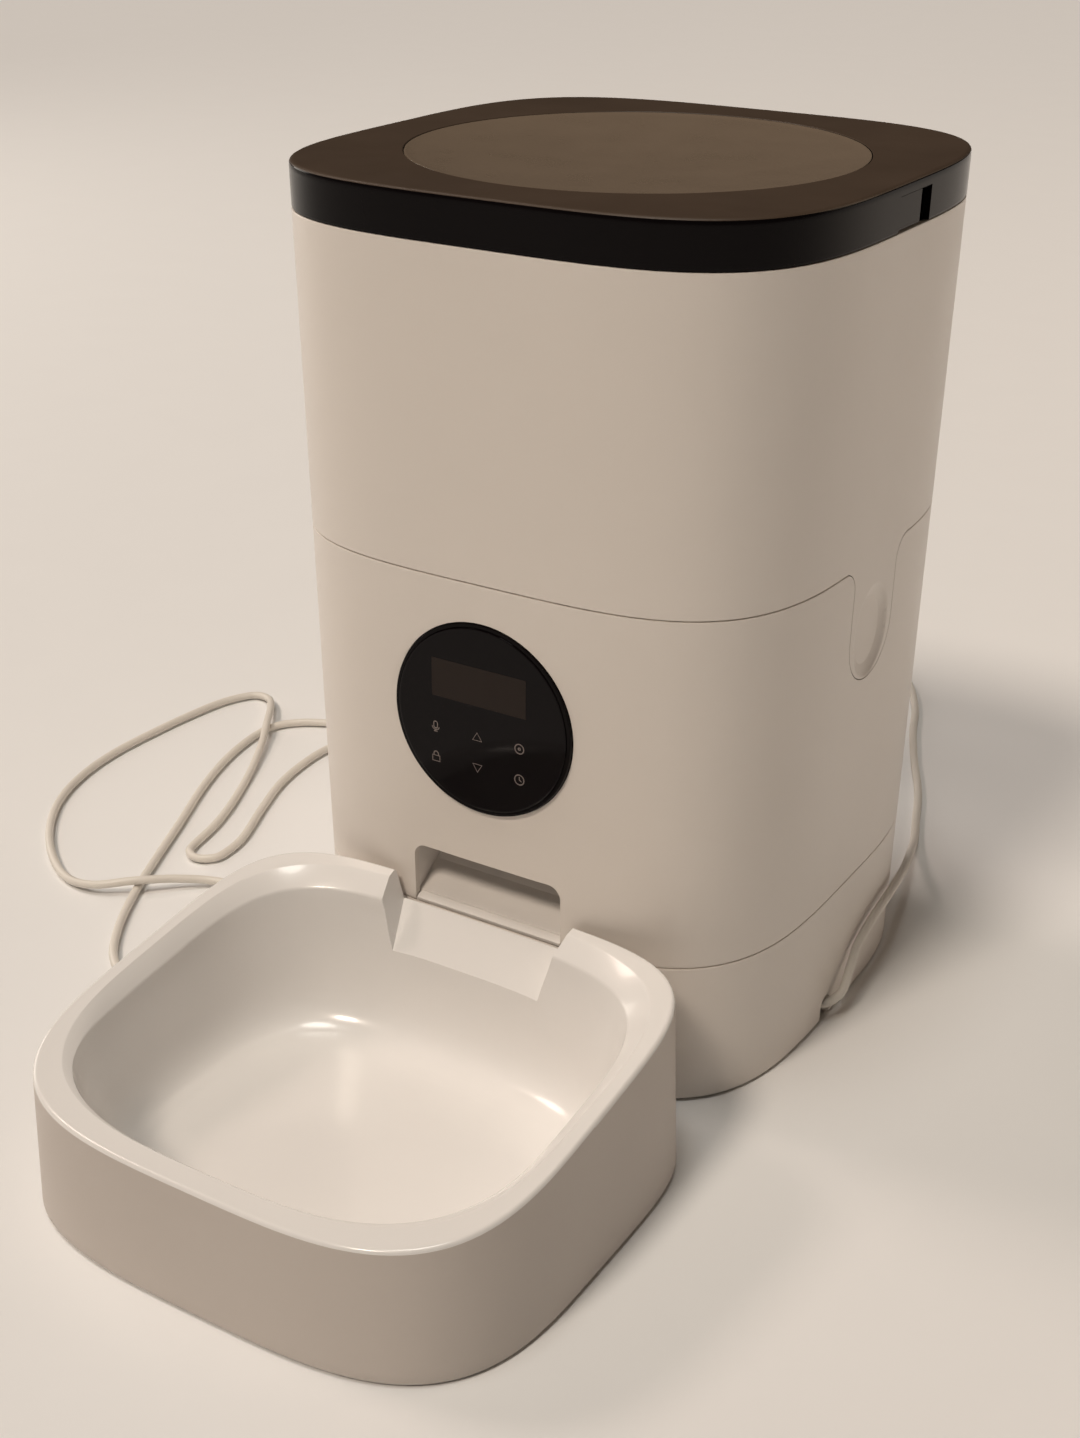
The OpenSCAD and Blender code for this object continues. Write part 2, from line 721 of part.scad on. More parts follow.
module stirrer() {
    color("ivory") difference() {
        union() {
            post([0, 0], 169, 175.5, 10);
            for (a = [45, 225]) rotate(a) {
                block([6, -2, 170.2], [24, 2, 175]);
                translate([22, 0, 172.6]) rotate([0, 60, 0]) cylinder(h = 22, r = 2);
            }
        }
        post([0, 0], 160, 180, 5);
    }
}

module stirrer_cap() {
    color("darkgray") rotate_extrude()
        polygon(concat([[0, 175.5], [14, 175.5], [14, 177]],
            [for (a = [0 : 15 : 90]) [14 * cos(a), 177 + 15 * sin(a)]]));
}

// ---------------------------------------------------------------- lid
lid_top_t = 2.6;
gap_y0 = -10;                    // opening for a press button in the lid's side
gap_y1 = 15.5;
edge = 1.6;                      // chamfer round the lid's top edge

module lid_shell() {
    color("black") difference() {
        loft([[lid_z + 0.3, half_at(lid_z)], [total_h - edge, half_at(total_h - edge)],
              [total_h - 0.5, half_at(total_h) - 0.4], [total_h, half_at(total_h) - edge]]);
        difference() {
            tower(lid_z - 1, total_h - lid_top_t, wall, inner_turn);
            post([0, 0], total_h - 6, total_h, dish_r + 4);
        }
        post([0, 0], lid_z - 1, total_h + 1, dish_r - 3);
        post([0, 0], total_h - 2.6, total_h + 1, dish_r + 0.1);
        for (side = [-1, 1])
            block([side > 0 ? 94 : -104, gap_y0, lid_z - 1], [side > 0 ? 104 : -94, gap_y1, 307]);
    }
}

// Shallow round dish let into the lid's top
function dish_arc(z, r) =
    [for (k = [0 : 12]) let (x = r * k / 12) [x, z + dish_depth * pow(x / r, 2)]];

module lid_dish() {
    low = total_h - dish_depth - 0.3;
    color("dimgray") rotate_extrude($fn = 128)
        polygon(concat(dish_arc(low, dish_r), [[dish_r, total_h - 2.5], [dish_r - 3.2, total_h - 2.5]],
            [for (k = [11 : -1 : 0]) let (x = dish_r * k / 12)
                [x, min(total_h - 2.5, low - 2.2 + dish_depth * pow(x / dish_r, 2))]]));
}

module lid_liner() {
    color("darkgray") difference() {
        union() {
            tower(total_h - 10.4, total_h - 8.4, wall + 3, 0.4);
            tower_ring(lid_z - 7, total_h - 9, wall + 3.2, 2);
            tower_ring(lid_z - 7, lid_z - 5.6, wall + 0.8, 4);
            for (a = [22.5 : 45 : 337.5])
                post((dish_r + 0.5) * [cos(a), sin(a)], total_h - 9, total_h - 6, 2.5);
        }
        for (side = [-1, 1])
            block([side > 0 ? 86 : -104, gap_y0 - 1, lid_z - 3.2],
                  [side > 0 ? 104 : -86, gap_y1 + 1, 306]);
    }
}

module lid_seal() {
    color("gray") tower_ring(lid_z - 5.4, lid_z - 3.4, wall + 0.4, 2.4);
}

module desiccant_cage() {
    top = total_h - 10.4;
    color("whitesmoke") difference() {
        post([0, 0], top - 18, top, 30);
        post([0, 0], top - 16, top + 1, 28);
        for (a = [0 : 30 : 330]) rotate(a) block([10, -1.5, top - 20], [24, 1.5, top - 15]);
    }
}

module desiccant_pack() {
    top = total_h - 10.4;
    color("lightblue") post([0, 0], top - 15.5, top - 1, 26);
}

module lid_button(side) {
    y0 = gap_y0 + 0.3;
    color("black") intersection() {
        tower(lid_z - 2, 308, 0.15);
        union() {
            block([side > 0 ? 96.9 : -102, y0, lid_z + 0.6],
                  [side > 0 ? 102 : -96.9, y0 + button_len, 306.6]);
            block([side > 0 ? 94 : -97.5, -6, lid_z + 1.5], [side > 0 ? 97.5 : -94, 4, 304]);
            block([side > 0 ? 94 : -96, -6, lid_z - 1.6], [side > 0 ? 96 : -94, 4, lid_z + 2]);
        }
    }
}

module lid_button_right() { lid_button(1); }
module lid_button_left() { lid_button(-1); }

// ---------------------------------------------------------------- food bowl
bowl_y = -177.2;
bowl_wall = 2.6;
bowl_scale = 0.9735;             // the outer wall draws in by this much over bowl_ref_h
bowl_ref_h = 72;
rim_slope = (bowl_back_h - bowl_front_h) / (2 * bowl_half_l);
rim_mid = (bowl_back_h + bowl_front_h) / 2;

// Plan of the bowl: rounder at the front corners than at the two corners by the tower
function bowl_plan(a, b, front_n = 3.5, back_n = 5) =
    [for (i = [0 : steps - 1])
        let (p = corner(i, i < steps / 2 ? back_n : front_n)) [a * p[0], b * p[1]]];

module bowl_outside(inset, z0, z1) {
    a = bowl_half_w - inset;
    b = bowl_half_l - inset;
    translate([0, bowl_y, z0])
        linear_extrude(height = z1 - z0, scale = 1 - (1 - bowl_scale) * (z1 - z0) / bowl_ref_h)
            polygon(bowl_plan(a, b));
}

// Everything below the sloping plane of the rim, less a drop
module below_rim(drop) {
    along_x(-110, 110)
        polygon([[-290, -2], [-60, -2],
                 [-60, rim_mid - drop + rim_slope * (-60 - bowl_y)],
                 [-290, rim_mid - drop + rim_slope * (-290 - bowl_y)]]);
}

module bowl_slice(a, b, y, z) {
    translate([0, y, z]) linear_extrude(height = 0.1) polygon(bowl_plan(a, b, 3, 3.4));
}

// The dished inside of the bowl, grown outwards by grow
module bowl_inside(grow) {
    hull() {
        bowl_slice(64 + grow, 53 + grow, bowl_y - 1, bowl_floor - grow);
        bowl_slice(70 + grow, 59 + grow, bowl_y - 1, bowl_floor + 2 - grow);
        bowl_slice(75 + grow, 64 + grow, bowl_y - 1, bowl_floor + 8 - grow);
        bowl_slice(77 + grow, 66.5 + grow, bowl_y - 1, bowl_floor + 18);
        bowl_slice(83 + grow, 71 + grow, bowl_y - 1, 74);
    }
}

// Notch in the back rim over a ramp that carries food from the outlet
module bowl_notch() {
    intersection() {
        along_x(-50, 50) polygon([[-80, 68.7], [-80, 95], [-130, 95], [-130, 30.5]]);
        translate([0, -80, 0]) rotate([90, 0, 0]) linear_extrude(height = 60)
            polygon([[-31, 30], [31, 30], [33, 52], [40, 90], [-40, 90], [-33, 52]]);
    }
}

pad_at = [for (x = [-52, 52], y = [bowl_y - 42, bowl_y + 42]) [x, y]];

module food_bowl() {
    color("whitesmoke") difference() {
        union() {
            difference() {
                intersection() {
                    bowl_outside(0, foot_h, 76);
                    below_rim(0);
                }
                difference() {
                    intersection() {
                        bowl_outside(bowl_wall, foot_h - 1, 76);
                        below_rim(3);
                    }
                    bowl_inside(bowl_wall);
                    along_x(-40, 40)
                        polygon([[-90, 90], [-90, -2], [-93, -2], [-132, 29], [-132, 90]]);
                }
            }
            for (p = pad_at) post(p, foot_h, bowl_floor - 1, 7);
        }
        bowl_inside(0);
        bowl_notch();
        for (x = [-peg_x, peg_x]) rod_y(x, -104, -90, peg_z, 3.4);
    }
}

module bowl_feet() {
    color("dimgray") for (p = pad_at) post(p, 0, foot_h, 6);
}

// ---------------------------------------------------------------- what is drawn
base_shell();
base_tray();
inner_frame();
frame_screws();
rubber_feet();
food_chute();
chute_sensors();
gear_housing();
gear_cover();
gear_screws();
idler_pin();
drive_bush();
feed_motor();
motor_pinion();
motor_shaft();
idler_gear();
output_gear();
drive_magnet();
position_sensor();
panel_bezel();
panel_lens();
lcd_module();
touch_board();
main_board();
board_parts();
microphone();
speaker();
battery_contacts();
battery_door();
dc_jack();
hopper_shell();
hopper_funnel();
metering_cup();
portion_shield();
rotor_hub();
rotor_wheel();
stirrer();
stirrer_cap();
lid_shell();
lid_dish();
lid_liner();
lid_seal();
desiccant_cage();
desiccant_pack();
lid_button_right();
lid_button_left();
food_bowl();
bowl_feet();
dc_plug();
power_cord();
adapter_relief();
adapter_body();
adapter_blades();
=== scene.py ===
"""Automatic pet feeder: what each piece looks like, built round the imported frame, in metres.

The tower stands on the origin with its bowl towards -Y. Sizes in the classes are in millimetres,
as on a drawing, and MM turns them into metres where a mesh is made.
"""

import logging
import math
from dataclasses import dataclass, field
from enum import Enum
from functools import lru_cache
from itertools import pairwise
from typing import Callable, Sequence

import bpy
from mathutils import Matrix, Vector


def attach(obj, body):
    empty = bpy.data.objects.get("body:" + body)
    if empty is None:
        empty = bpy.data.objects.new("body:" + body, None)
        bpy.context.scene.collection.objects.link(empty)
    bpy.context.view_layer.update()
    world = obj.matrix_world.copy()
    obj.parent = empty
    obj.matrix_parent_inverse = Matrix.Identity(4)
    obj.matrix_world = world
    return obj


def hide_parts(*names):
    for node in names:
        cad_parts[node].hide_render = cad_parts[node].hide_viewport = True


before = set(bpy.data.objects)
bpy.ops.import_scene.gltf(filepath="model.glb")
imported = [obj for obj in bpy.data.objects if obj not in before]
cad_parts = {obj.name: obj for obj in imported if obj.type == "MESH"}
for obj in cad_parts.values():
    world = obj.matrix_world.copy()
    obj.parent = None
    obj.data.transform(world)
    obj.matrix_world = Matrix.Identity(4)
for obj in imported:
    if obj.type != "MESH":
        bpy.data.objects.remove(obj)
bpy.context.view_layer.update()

MM = 0.001
COLUMNS = 176  # mesh columns round a shell
CREASE = 32.0  # degrees at which smooth shading turns sharp
FRONT_WALL = (-112, -82)  # the Y span of a tool that cuts through the front wall
LOG = logging.getLogger("feeder")

Piece = bpy.types.Object
Socket = bpy.types.NodeSocket
Tree = bpy.types.NodeTree
Loop = list[Vector]
Colour = tuple[float, float, float]
Triple = tuple[float, float, float]
Point = tuple[float, float]


# ---------- modelling bench
class Ends(Enum):
    """How the two ends of a skin are treated."""

    CAPPED = "capped"
    LOOPED = "looped"


class Axis(Enum):
    """The axis that a rod lies along."""

    X = 0
    Y = 1
    Z = 2


class Cut(Enum):
    """What a tool does to the piece that it is used on."""

    AWAY = "DIFFERENCE"
    ADD = "UNION"
    SHARED = "INTERSECT"


def spot(co: Vector) -> Point:
    """The place of a point in plan, rounded so that it can be looked up."""
    return (round(co.x, 5), round(co.y, 5))


def ring_points(radius: float, count: int) -> list[Point]:
    """Points evenly spaced round a circle."""
    return [(radius * math.cos(math.tau * k / count), radius * math.sin(math.tau * k / count)) for k in range(count)]


class Bench:
    """The modelling operators, used on one piece at a time."""

    @staticmethod
    def only(obj: Piece) -> None:
        """Selects one piece alone and makes it active.

        Args:
            obj: the piece.
        """
        bpy.ops.object.select_all(action="DESELECT")
        obj.select_set(True)
        bpy.context.view_layer.objects.active = obj

    @staticmethod
    def edit(kind: str, action: str = "DESELECT") -> None:
        """Goes into edit mode.

        Args:
            kind: what is worked on, EDGE or FACE.
            action: whether all is selected or nothing.
        """
        bpy.ops.object.mode_set(mode="EDIT")
        bpy.ops.mesh.select_mode(type=kind)
        bpy.ops.mesh.select_all(action=action)

    @staticmethod
    def leave() -> None:
        """Goes back to object mode."""
        bpy.ops.object.mode_set(mode="OBJECT")

    @staticmethod
    def tidy(obj: Piece, crease: float = CREASE) -> Piece:
        """Merges doubled points, turns the faces outwards and smooths the shading.

        Args:
            obj: the piece.
            crease: the angle in degrees above which an edge stays sharp.

        Returns:
            The same piece.
        """
        Bench.only(obj)
        bpy.ops.object.mode_set(mode="EDIT")
        bpy.ops.mesh.select_all(action="SELECT")
        bpy.ops.mesh.remove_doubles(threshold=2e-6)
        bpy.ops.mesh.normals_make_consistent(inside=False)
        Bench.leave()
        bpy.ops.object.shade_smooth_by_angle(angle=math.radians(crease))
        return obj

    @staticmethod
    def skin(name: str, loops: Sequence[Loop], ends: Ends, crease: float = CREASE) -> Piece:
        """Draws a circle out into a skin, then sets its rows on the loops.

        Args:
            name: the piece's name.
            loops: outlines with the same number of points each, in metres.
            ends: whether the first and last loops are filled or joined to each other.
            crease: the angle in degrees above which an edge stays sharp.

        Returns:
            The new piece.
        """
        rows = [*loops, loops[0]] if ends is Ends.LOOPED else list(loops)
        bpy.ops.object.select_all(action="DESELECT")
        bpy.ops.mesh.primitive_circle_add(vertices=len(rows[0]), radius=1.0, location=(0, 0, 0))
        obj = bpy.context.active_object
        obj.name = obj.data.name = name
        column = {spot(v.co): i for i, v in enumerate(obj.data.vertices)}
        Bench.edit("EDGE", "SELECT")
        for _ in rows[1:]:
            bpy.ops.mesh.extrude_region_move(TRANSFORM_OT_translate={"value": (0, 0, 1)})
        if ends is Ends.CAPPED:
            bpy.ops.mesh.edge_face_add()
            bpy.ops.mesh.select_all(action="DESELECT")
            bpy.ops.mesh.select_non_manifold()
            bpy.ops.mesh.edge_face_add()
        Bench.leave()
        for v in obj.data.vertices:
            v.co = rows[round(v.co.z)][column[spot(v.co)]]
        return Bench.tidy(obj, crease)

    @staticmethod
    def prism(name: str, outline: Sequence[Point], x0: float, x1: float) -> Piece:
        """A side profile in Y and Z drawn out along X, all in millimetres.

        Args:
            name: the piece's name.
            outline: the profile's corners.
            x0: where it starts.
            x1: where it ends.

        Returns:
            The new piece.
        """
        loops = [[Vector((x, y, z)) * MM for y, z in outline] for x in (x0, x1)]
        return Bench.skin(name, loops, Ends.CAPPED)

    @staticmethod
    def box(name: str, low: Triple, high: Triple) -> Piece:
        """A square block between two corners in millimetres."""
        (x0, y0, z0), (x1, y1, z1) = low, high
        return Bench.prism(name, [(y0, z0), (y1, z0), (y1, z1), (y0, z1)], x0, x1)

    @staticmethod
    def rod(name: str, along: Axis, start: Triple, length: float, radius: float) -> Piece:
        """A round rod from start along an axis, in millimetres.

        Args:
            name: the piece's name.
            along: its axis.
            start: the middle of its first end.
            length: its length.
            radius: its radius.

        Returns:
            The new piece.
        """
        loops = []
        for h in (0, length):
            ring = [(h, *point) for point in ring_points(radius, 72)]
            turned = [Vector([q[(i - along.value) % 3] for i in range(3)]) for q in ring]
            loops.append([(Vector(start) + q) * MM for q in turned])
        return Bench.skin(name, loops, Ends.CAPPED)

    @staticmethod
    def join(obj: Piece, *others: Piece) -> Piece:
        """Joins pieces into one mesh.

        Args:
            obj: the piece that is kept.
            others: the pieces that become part of it.

        Returns:
            The joined piece.
        """
        Bench.only(obj)
        for other in others:
            other.select_set(True)
        bpy.ops.object.join()
        return obj

    @staticmethod
    def combine(obj: Piece, tool: Piece, how: Cut = Cut.AWAY) -> Piece:
        """Cuts, unites or intersects obj with tool, which is used up.

        Args:
            obj: the piece that is kept.
            tool: the solid that it is combined with.
            how: what the tool does.

        Returns:
            The piece.
        """
        Bench.only(obj)
        bpy.ops.object.modifier_add(type="BOOLEAN")
        step = obj.modifiers[-1]
        step.operation, step.solver, step.object = how.value, "EXACT", tool
        bpy.ops.object.modifier_apply(modifier=step.name)
        bpy.data.objects.remove(tool)
        return Bench.tidy(obj)

    @staticmethod
    def bevel(obj: Piece, width: float, wanted: Callable[[Vector, Vector], bool], segments: int = 3) -> Piece:
        """Rounds the creased edges whose two ends pass a test.

        Args:
            obj: the piece.
            width: the width of the round, in millimetres.
            wanted: a test of an edge's two ends, which it is given in millimetres.
            segments: how many flats the round has.

        Returns:
            The piece.
        """
        Bench.only(obj)
        Bench.edit("EDGE")
        bpy.ops.mesh.edges_select_sharp(sharpness=math.radians(CREASE))
        Bench.leave()
        points = [v.co / MM for v in obj.data.vertices]
        for edge in obj.data.edges:
            edge.select = edge.select and wanted(*(points[i] for i in edge.vertices))
        for face in obj.data.polygons:
            face.select = False
        bpy.ops.object.mode_set(mode="EDIT")
        bpy.ops.mesh.bevel(offset=width * MM, segments=segments, affect="EDGES", clamp_overlap=True)
        Bench.leave()
        return Bench.tidy(obj)

    @staticmethod
    def stroke(name: str, points: Sequence[Vector], thick: float, closed: bool = False) -> Piece:
        """A round line through points in metres, as a curve.

        Args:
            name: the piece's name.
            points: where it goes.
            thick: its diameter in millimetres.
            closed: whether its ends meet.

        Returns:
            The curve.
        """
        data = bpy.data.curves.new(name, "CURVE")
        data.dimensions, data.bevel_depth, data.bevel_resolution = "3D", thick / 2 * MM, 3
        data.use_fill_caps = True
        line = data.splines.new("POLY")
        line.points.add(len(points) - 1)
        line.use_cyclic_u = closed
        for place, p in zip(line.points, points):
            place.co = (*p, 1)
        obj = bpy.data.objects.new(name, data)
        bpy.context.scene.collection.objects.link(obj)
        return obj


# ---------- plans and rows
@lru_cache
def quadrant(power: float, count: int) -> list[Point]:
    """Points from (1, 0) to (0, 1) on a square-round curve, evenly spaced along it.

    Args:
        power: 2 is a circle, and a higher one is squarer.
        count: the number of gaps between the points.

    Returns:
        count + 1 points.
    """
    fine = []
    for i in range(2001):
        a = math.pi / 2 * i / 2000
        c, s = max(0.0, math.cos(a)), math.sin(a)
        r = (c**power + s**power) ** (-1 / power)
        fine.append((r * c, r * s))
    run = [0.0]
    for p, q in pairwise(fine):
        run.append(run[-1] + math.dist(p, q))
    points, at = [], 0
    for k in range(count + 1):
        goal = run[-1] * k / count
        while at < len(run) - 2 and run[at + 1] < goal:
            at += 1
        share = (goal - run[at]) / (run[at + 1] - run[at])
        points.append(tuple(a + (b - a) * share for a, b in zip(fine[at], fine[at + 1])))
    return points


@dataclass(frozen=True)
class Plan:
    """A square-round outline: half widths in millimetres, and how square its two halves are."""

    half_x: float
    half_y: float
    centre_y: float = 0.0
    front: float = 3.7
    back: float = 3.7

    def points(self) -> list[Point]:
        """Draws the outline.

        Returns:
            Its points, anticlockwise from +X.
        """
        m = COLUMNS // 4
        points = []
        for q in range(4):
            base = quadrant(self.back if q < 2 else self.front, m)
            sx, sy = (1, -1, -1, 1)[q], (1, 1, -1, -1)[q]
            for i in range(m):
                x, y = base[i] if q % 2 == 0 else base[m - i]
                points.append((sx * x * self.half_x, self.centre_y + sy * y * self.half_y))
        return points

    def loop(self, height: float) -> Loop:
        """The outline at a height."""
        return [Vector((x, y, height)) * MM for x, y in self.points()]


def circle(radius: float, z: float) -> Loop:
    """A round outline on the tower's axis."""
    return Plan(radius, radius, 0.0, 2.0, 2.0).loop(z)


@dataclass(frozen=True)
class Tower:
    """The drafted square-round body that every shell of the tower follows."""

    half_w: float = 95.0
    draft: float = 0.0157
    height: float = 311.0
    seam: float = 0.4
    tray_top: float = 56.0
    hopper_low: float = 185.6
    lid_low: float = 295.6
    wall: float = 2.5

    def half(self, z: float) -> float:
        """Half width at a height."""
        return self.half_w + self.draft * z

    def loop(self, z: float, inset: float = 0.0) -> Loop:
        """The outline at a height, drawn in by inset."""
        return Plan(self.half(z) - inset, self.half(z) - inset).loop(z)

    def shell(self, name: str, z0: float, z1: float, rows: int = 24, soft: float = 0.25) -> Piece:
        """An open-ended wall of the tower with softened rims.

        Args:
            name: the piece's name.
            z0: its lower rim.
            z1: its upper rim.
            rows: mesh rows on its outer face.
            soft: the size of the rims' rounding.

        Returns:
            The new piece.
        """
        rim = [(0.0, soft), (0.3 * soft, 0.3 * soft), (soft, 0.0), (soft + 0.5, 0.0)]
        outer = [(z0 + rise, inset) for rise, inset in rim]
        outer += [(z0 + (z1 - z0) * k / rows, 0.0) for k in range(1, rows)]
        outer += [(z1 - rise, inset) for rise, inset in reversed(rim)]
        inner = [(z1, self.wall), (z0, self.wall)]
        return Bench.skin(name, [self.loop(z, d) for z, d in outer + inner], Ends.LOOPED)

    def ring(self, name: str, z0: float, z1: float, inset: float, thick: float) -> Piece:
        """A plain square ring inside the tower."""
        rows = [(z0, inset), (z1, inset), (z1, inset + thick), (z0, inset + thick)]
        return Bench.skin(name, [self.loop(z, d) for z, d in rows], Ends.LOOPED)


TOWER = Tower()


# ---------- finishes
class Grain(Enum):
    """The fine pattern of a finish."""

    MOULDED = "moulded"
    TURNED = "turned"
    FIBRE = "fibre"
    BOARD = "board"


@dataclass(frozen=True)
class Finish:
    """A procedural finish: its colour, its gloss and the fine unevenness that real pieces show."""

    name: str
    colour: Colour
    roughness: float
    grain: Grain = Grain.MOULDED
    metallic: float = 0.0
    coat: float = 0.0
    ior: float = 1.5
    wander: float = 0.03
    rough_wander: float = 0.05
    bump: float = 0.02
    scale: float = 700.0

    def noise(self, tree: Tree, scale: float, place: Socket, detail: float = 3.0) -> Socket:
        """Adds a noise pattern.

        Args:
            tree: the material's nodes.
            scale: its scale per metre.
            place: where it is read.
            detail: its fineness.

        Returns:
            Its value.
        """
        node = tree.nodes.new("ShaderNodeTexNoise")
        node.inputs["Scale"].default_value = scale
        node.inputs["Detail"].default_value = detail
        tree.links.new(place, node.inputs["Vector"])
        return node.outputs["Fac"]

    def spread(self, tree: Tree, value: Socket, low: float, high: float) -> Socket:
        """Stretches a noise value's middle range over another range.

        Args:
            tree: the material's nodes.
            value: the noise value.
            low: what 0.3 becomes.
            high: what 0.7 becomes.

        Returns:
            The stretched value.
        """
        node = tree.nodes.new("ShaderNodeMapRange")
        for name, number in (("From Min", 0.3), ("From Max", 0.7), ("To Min", low), ("To Max", high)):
            node.inputs[name].default_value = number
        tree.links.new(value, node.inputs["Value"])
        return node.outputs["Result"]

    def relief(self, tree: Tree, place: Socket) -> Socket:
        """Adds the height pattern that the bump reads.

        Args:
            tree: the material's nodes.
            place: where it is read.

        Returns:
            The height.
        """
        if self.grain is Grain.FIBRE:
            node = tree.nodes.new("ShaderNodeTexVoronoi")
            node.inputs["Scale"].default_value = self.scale
            tree.links.new(place, node.inputs["Vector"])
            return node.outputs["Distance"]
        if self.grain is Grain.TURNED:
            node = tree.nodes.new("ShaderNodeTexWave")
            node.wave_type, node.rings_direction = "RINGS", "Z"
            node.inputs["Scale"].default_value = self.scale
            node.inputs["Distortion"].default_value = 1.5
            tree.links.new(place, node.inputs["Vector"])
            return node.outputs["Fac"]
        if self.grain is Grain.BOARD:
            node = tree.nodes.new("ShaderNodeTexBrick")
            node.inputs["Scale"].default_value = self.scale / 4
            node.inputs["Mortar Size"].default_value = 0.06
            tree.links.new(place, node.inputs["Vector"])
            return node.outputs["Fac"]
        return self.noise(tree, self.scale, place)

    @lru_cache
    def material(self) -> bpy.types.Material:
        """Mixes the finish once.

        Returns:
            The Blender material.
        """
        mat = bpy.data.materials.new(self.name)
        mat.use_nodes = True
        tree = mat.node_tree
        shader = tree.nodes["Principled BSDF"]
        place = tree.nodes.new("ShaderNodeTexCoord").outputs["Object"]
        ramp = tree.nodes.new("ShaderNodeValToRGB")
        ramp.color_ramp.elements[0].position, ramp.color_ramp.elements[1].position = 0.3, 0.7
        for stop, gain in zip(ramp.color_ramp.elements, (1 - self.wander, 1 + self.wander)):
            stop.color = (*(min(1.0, c * gain) for c in self.colour), 1)
        tree.links.new(self.noise(tree, 22.0, place, 5.0), ramp.inputs["Fac"])
        tree.links.new(ramp.outputs["Color"], shader.inputs["Base Color"])
        fine = self.relief(tree, place)
        low, high = self.roughness - self.rough_wander, self.roughness + self.rough_wander
        rough = self.spread(tree, self.noise(tree, 60.0, place, 6.0), max(0.02, low), high)
        tree.links.new(rough, shader.inputs["Roughness"])
        bump = tree.nodes.new("ShaderNodeBump")
        bump.inputs["Strength"].default_value = self.bump
        bump.inputs["Distance"].default_value = 0.0004
        tree.links.new(fine, bump.inputs["Height"])
        tree.links.new(bump.outputs["Normal"], shader.inputs["Normal"])
        shader.inputs["Metallic"].default_value = self.metallic
        shader.inputs["IOR"].default_value = self.ior
        shader.inputs["Coat Weight"].default_value = self.coat
        shader.inputs["Coat Roughness"].default_value = 0.06
        return mat

    def dress(self, obj: Piece) -> Piece:
        """Gives a piece this finish all over.

        Args:
            obj: the piece.

        Returns:
            The same piece.
        """
        obj.data.materials.clear()
        obj.data.materials.append(self.material())
        return obj


WHITE = Finish(
    "soft_gloss_white", (0.79, 0.735, 0.68), 0.34, coat=0.08, wander=0.008, rough_wander=0.02, bump=0.03, scale=900
)
BOWL_WHITE = Finish(
    "bowl_gloss_white", (0.83, 0.81, 0.79), 0.23, coat=0.30, wander=0.006, rough_wander=0.02, bump=0.01, scale=500
)
# The bowl's outer sides: a matt finish whose darker colour is painted shade, standing for the shade on the sides of
# the same white plastic.
BOWL_SIDE_MATT_PAINTED_SHADE = Finish(
    "bowl_side_matt_painted_shade", (0.57, 0.515, 0.47), 0.44, wander=0.008, rough_wander=0.02, bump=0.06, scale=1500
)
BLACK = Finish("polished_black", (0.0042, 0.0030, 0.0034), 0.16, ior=1.18, wander=0.05, rough_wander=0.03, bump=0.015)
# The lid's top: matt black whose lighter brown colour is painted sheen, standing for light from above on the same
# black plastic.
LID_TOP_PAINTED_SHEEN = Finish(
    "black_top_painted_sheen", (0.066, 0.045, 0.031), 0.44, ior=1.35, wander=0.07, rough_wander=0.05, bump=0.12, scale=1600
)
DISH = Finish("satin_smoke", (0.190, 0.145, 0.105), 0.30, wander=0.03, rough_wander=0.04, bump=0.25, scale=2600)
PANEL = Finish("panel_gloss", (0.0040, 0.0028, 0.0034), 0.06, ior=1.22, wander=0.03, rough_wander=0.02, bump=0.006)
LCD = Finish("unlit_display", (0.019, 0.012, 0.009), 0.10, ior=1.26, wander=0.04, rough_wander=0.03, bump=0.006)
PRINT = Finish("printed_mark", (0.19, 0.155, 0.145), 0.5, wander=0.05)
CORD_WHITE = Finish("lead_white", (0.74, 0.70, 0.64), 0.42, wander=0.04, bump=0.08, scale=1500)
FRAME_WHITE = Finish("frame_plastic", (0.66, 0.65, 0.62), 0.45, wander=0.03, bump=0.12, scale=1200)
FOOD_WHITE = Finish("food_plastic", (0.82, 0.78, 0.74), 0.36, wander=0.03, bump=0.06, scale=1000)
LINER = Finish("liner_grey", (0.16, 0.155, 0.15), 0.5, wander=0.05, bump=0.15, scale=1200)
SENSOR = Finish("infrared_window", (0.03, 0.015, 0.05), 0.12, coat=0.6)
NYLON = Finish("gear_nylon", (0.78, 0.74, 0.62), 0.42, wander=0.05, bump=0.08, scale=1500)
ROTOR = Finish("rotor_plastic", (0.70, 0.68, 0.63), 0.4, wander=0.03, bump=0.06)
SILICONE = Finish("grey_silicone", (0.33, 0.33, 0.32), 0.62, wander=0.06, bump=0.12, scale=900)
SEAL = Finish("seal_silicone", (0.50, 0.50, 0.48), 0.6, wander=0.06, bump=0.12, scale=900)
RUBBER = Finish("foot_rubber", (0.055, 0.053, 0.05), 0.75, wander=0.15, bump=0.3, scale=1300)
STEEL = Finish("turned_steel", (0.56, 0.56, 0.55), 0.34, Grain.TURNED, metallic=1.0, bump=0.10, scale=260)
ZINC = Finish("zinc_plate", (0.66, 0.65, 0.60), 0.34, metallic=1.0, wander=0.10, bump=0.05)
NICKEL = Finish("nickel_plate", (0.70, 0.67, 0.60), 0.22, metallic=1.0, wander=0.04, bump=0.03)
BRONZE = Finish("sintered_bronze", (0.48, 0.31, 0.13), 0.45, metallic=1.0, wander=0.15, bump=0.3, scale=2200)
BOARD = Finish("solder_mask", (0.015, 0.13, 0.05), 0.34, Grain.BOARD, coat=0.4, wander=0.08, bump=0.08)
CHIP = Finish("component_black", (0.025, 0.025, 0.026), 0.55, wander=0.10, bump=0.2, scale=2500)
PAPER = Finish("desiccant_paper", (0.70, 0.73, 0.76), 0.85, Grain.FIBRE, wander=0.06, bump=0.5, scale=1400)


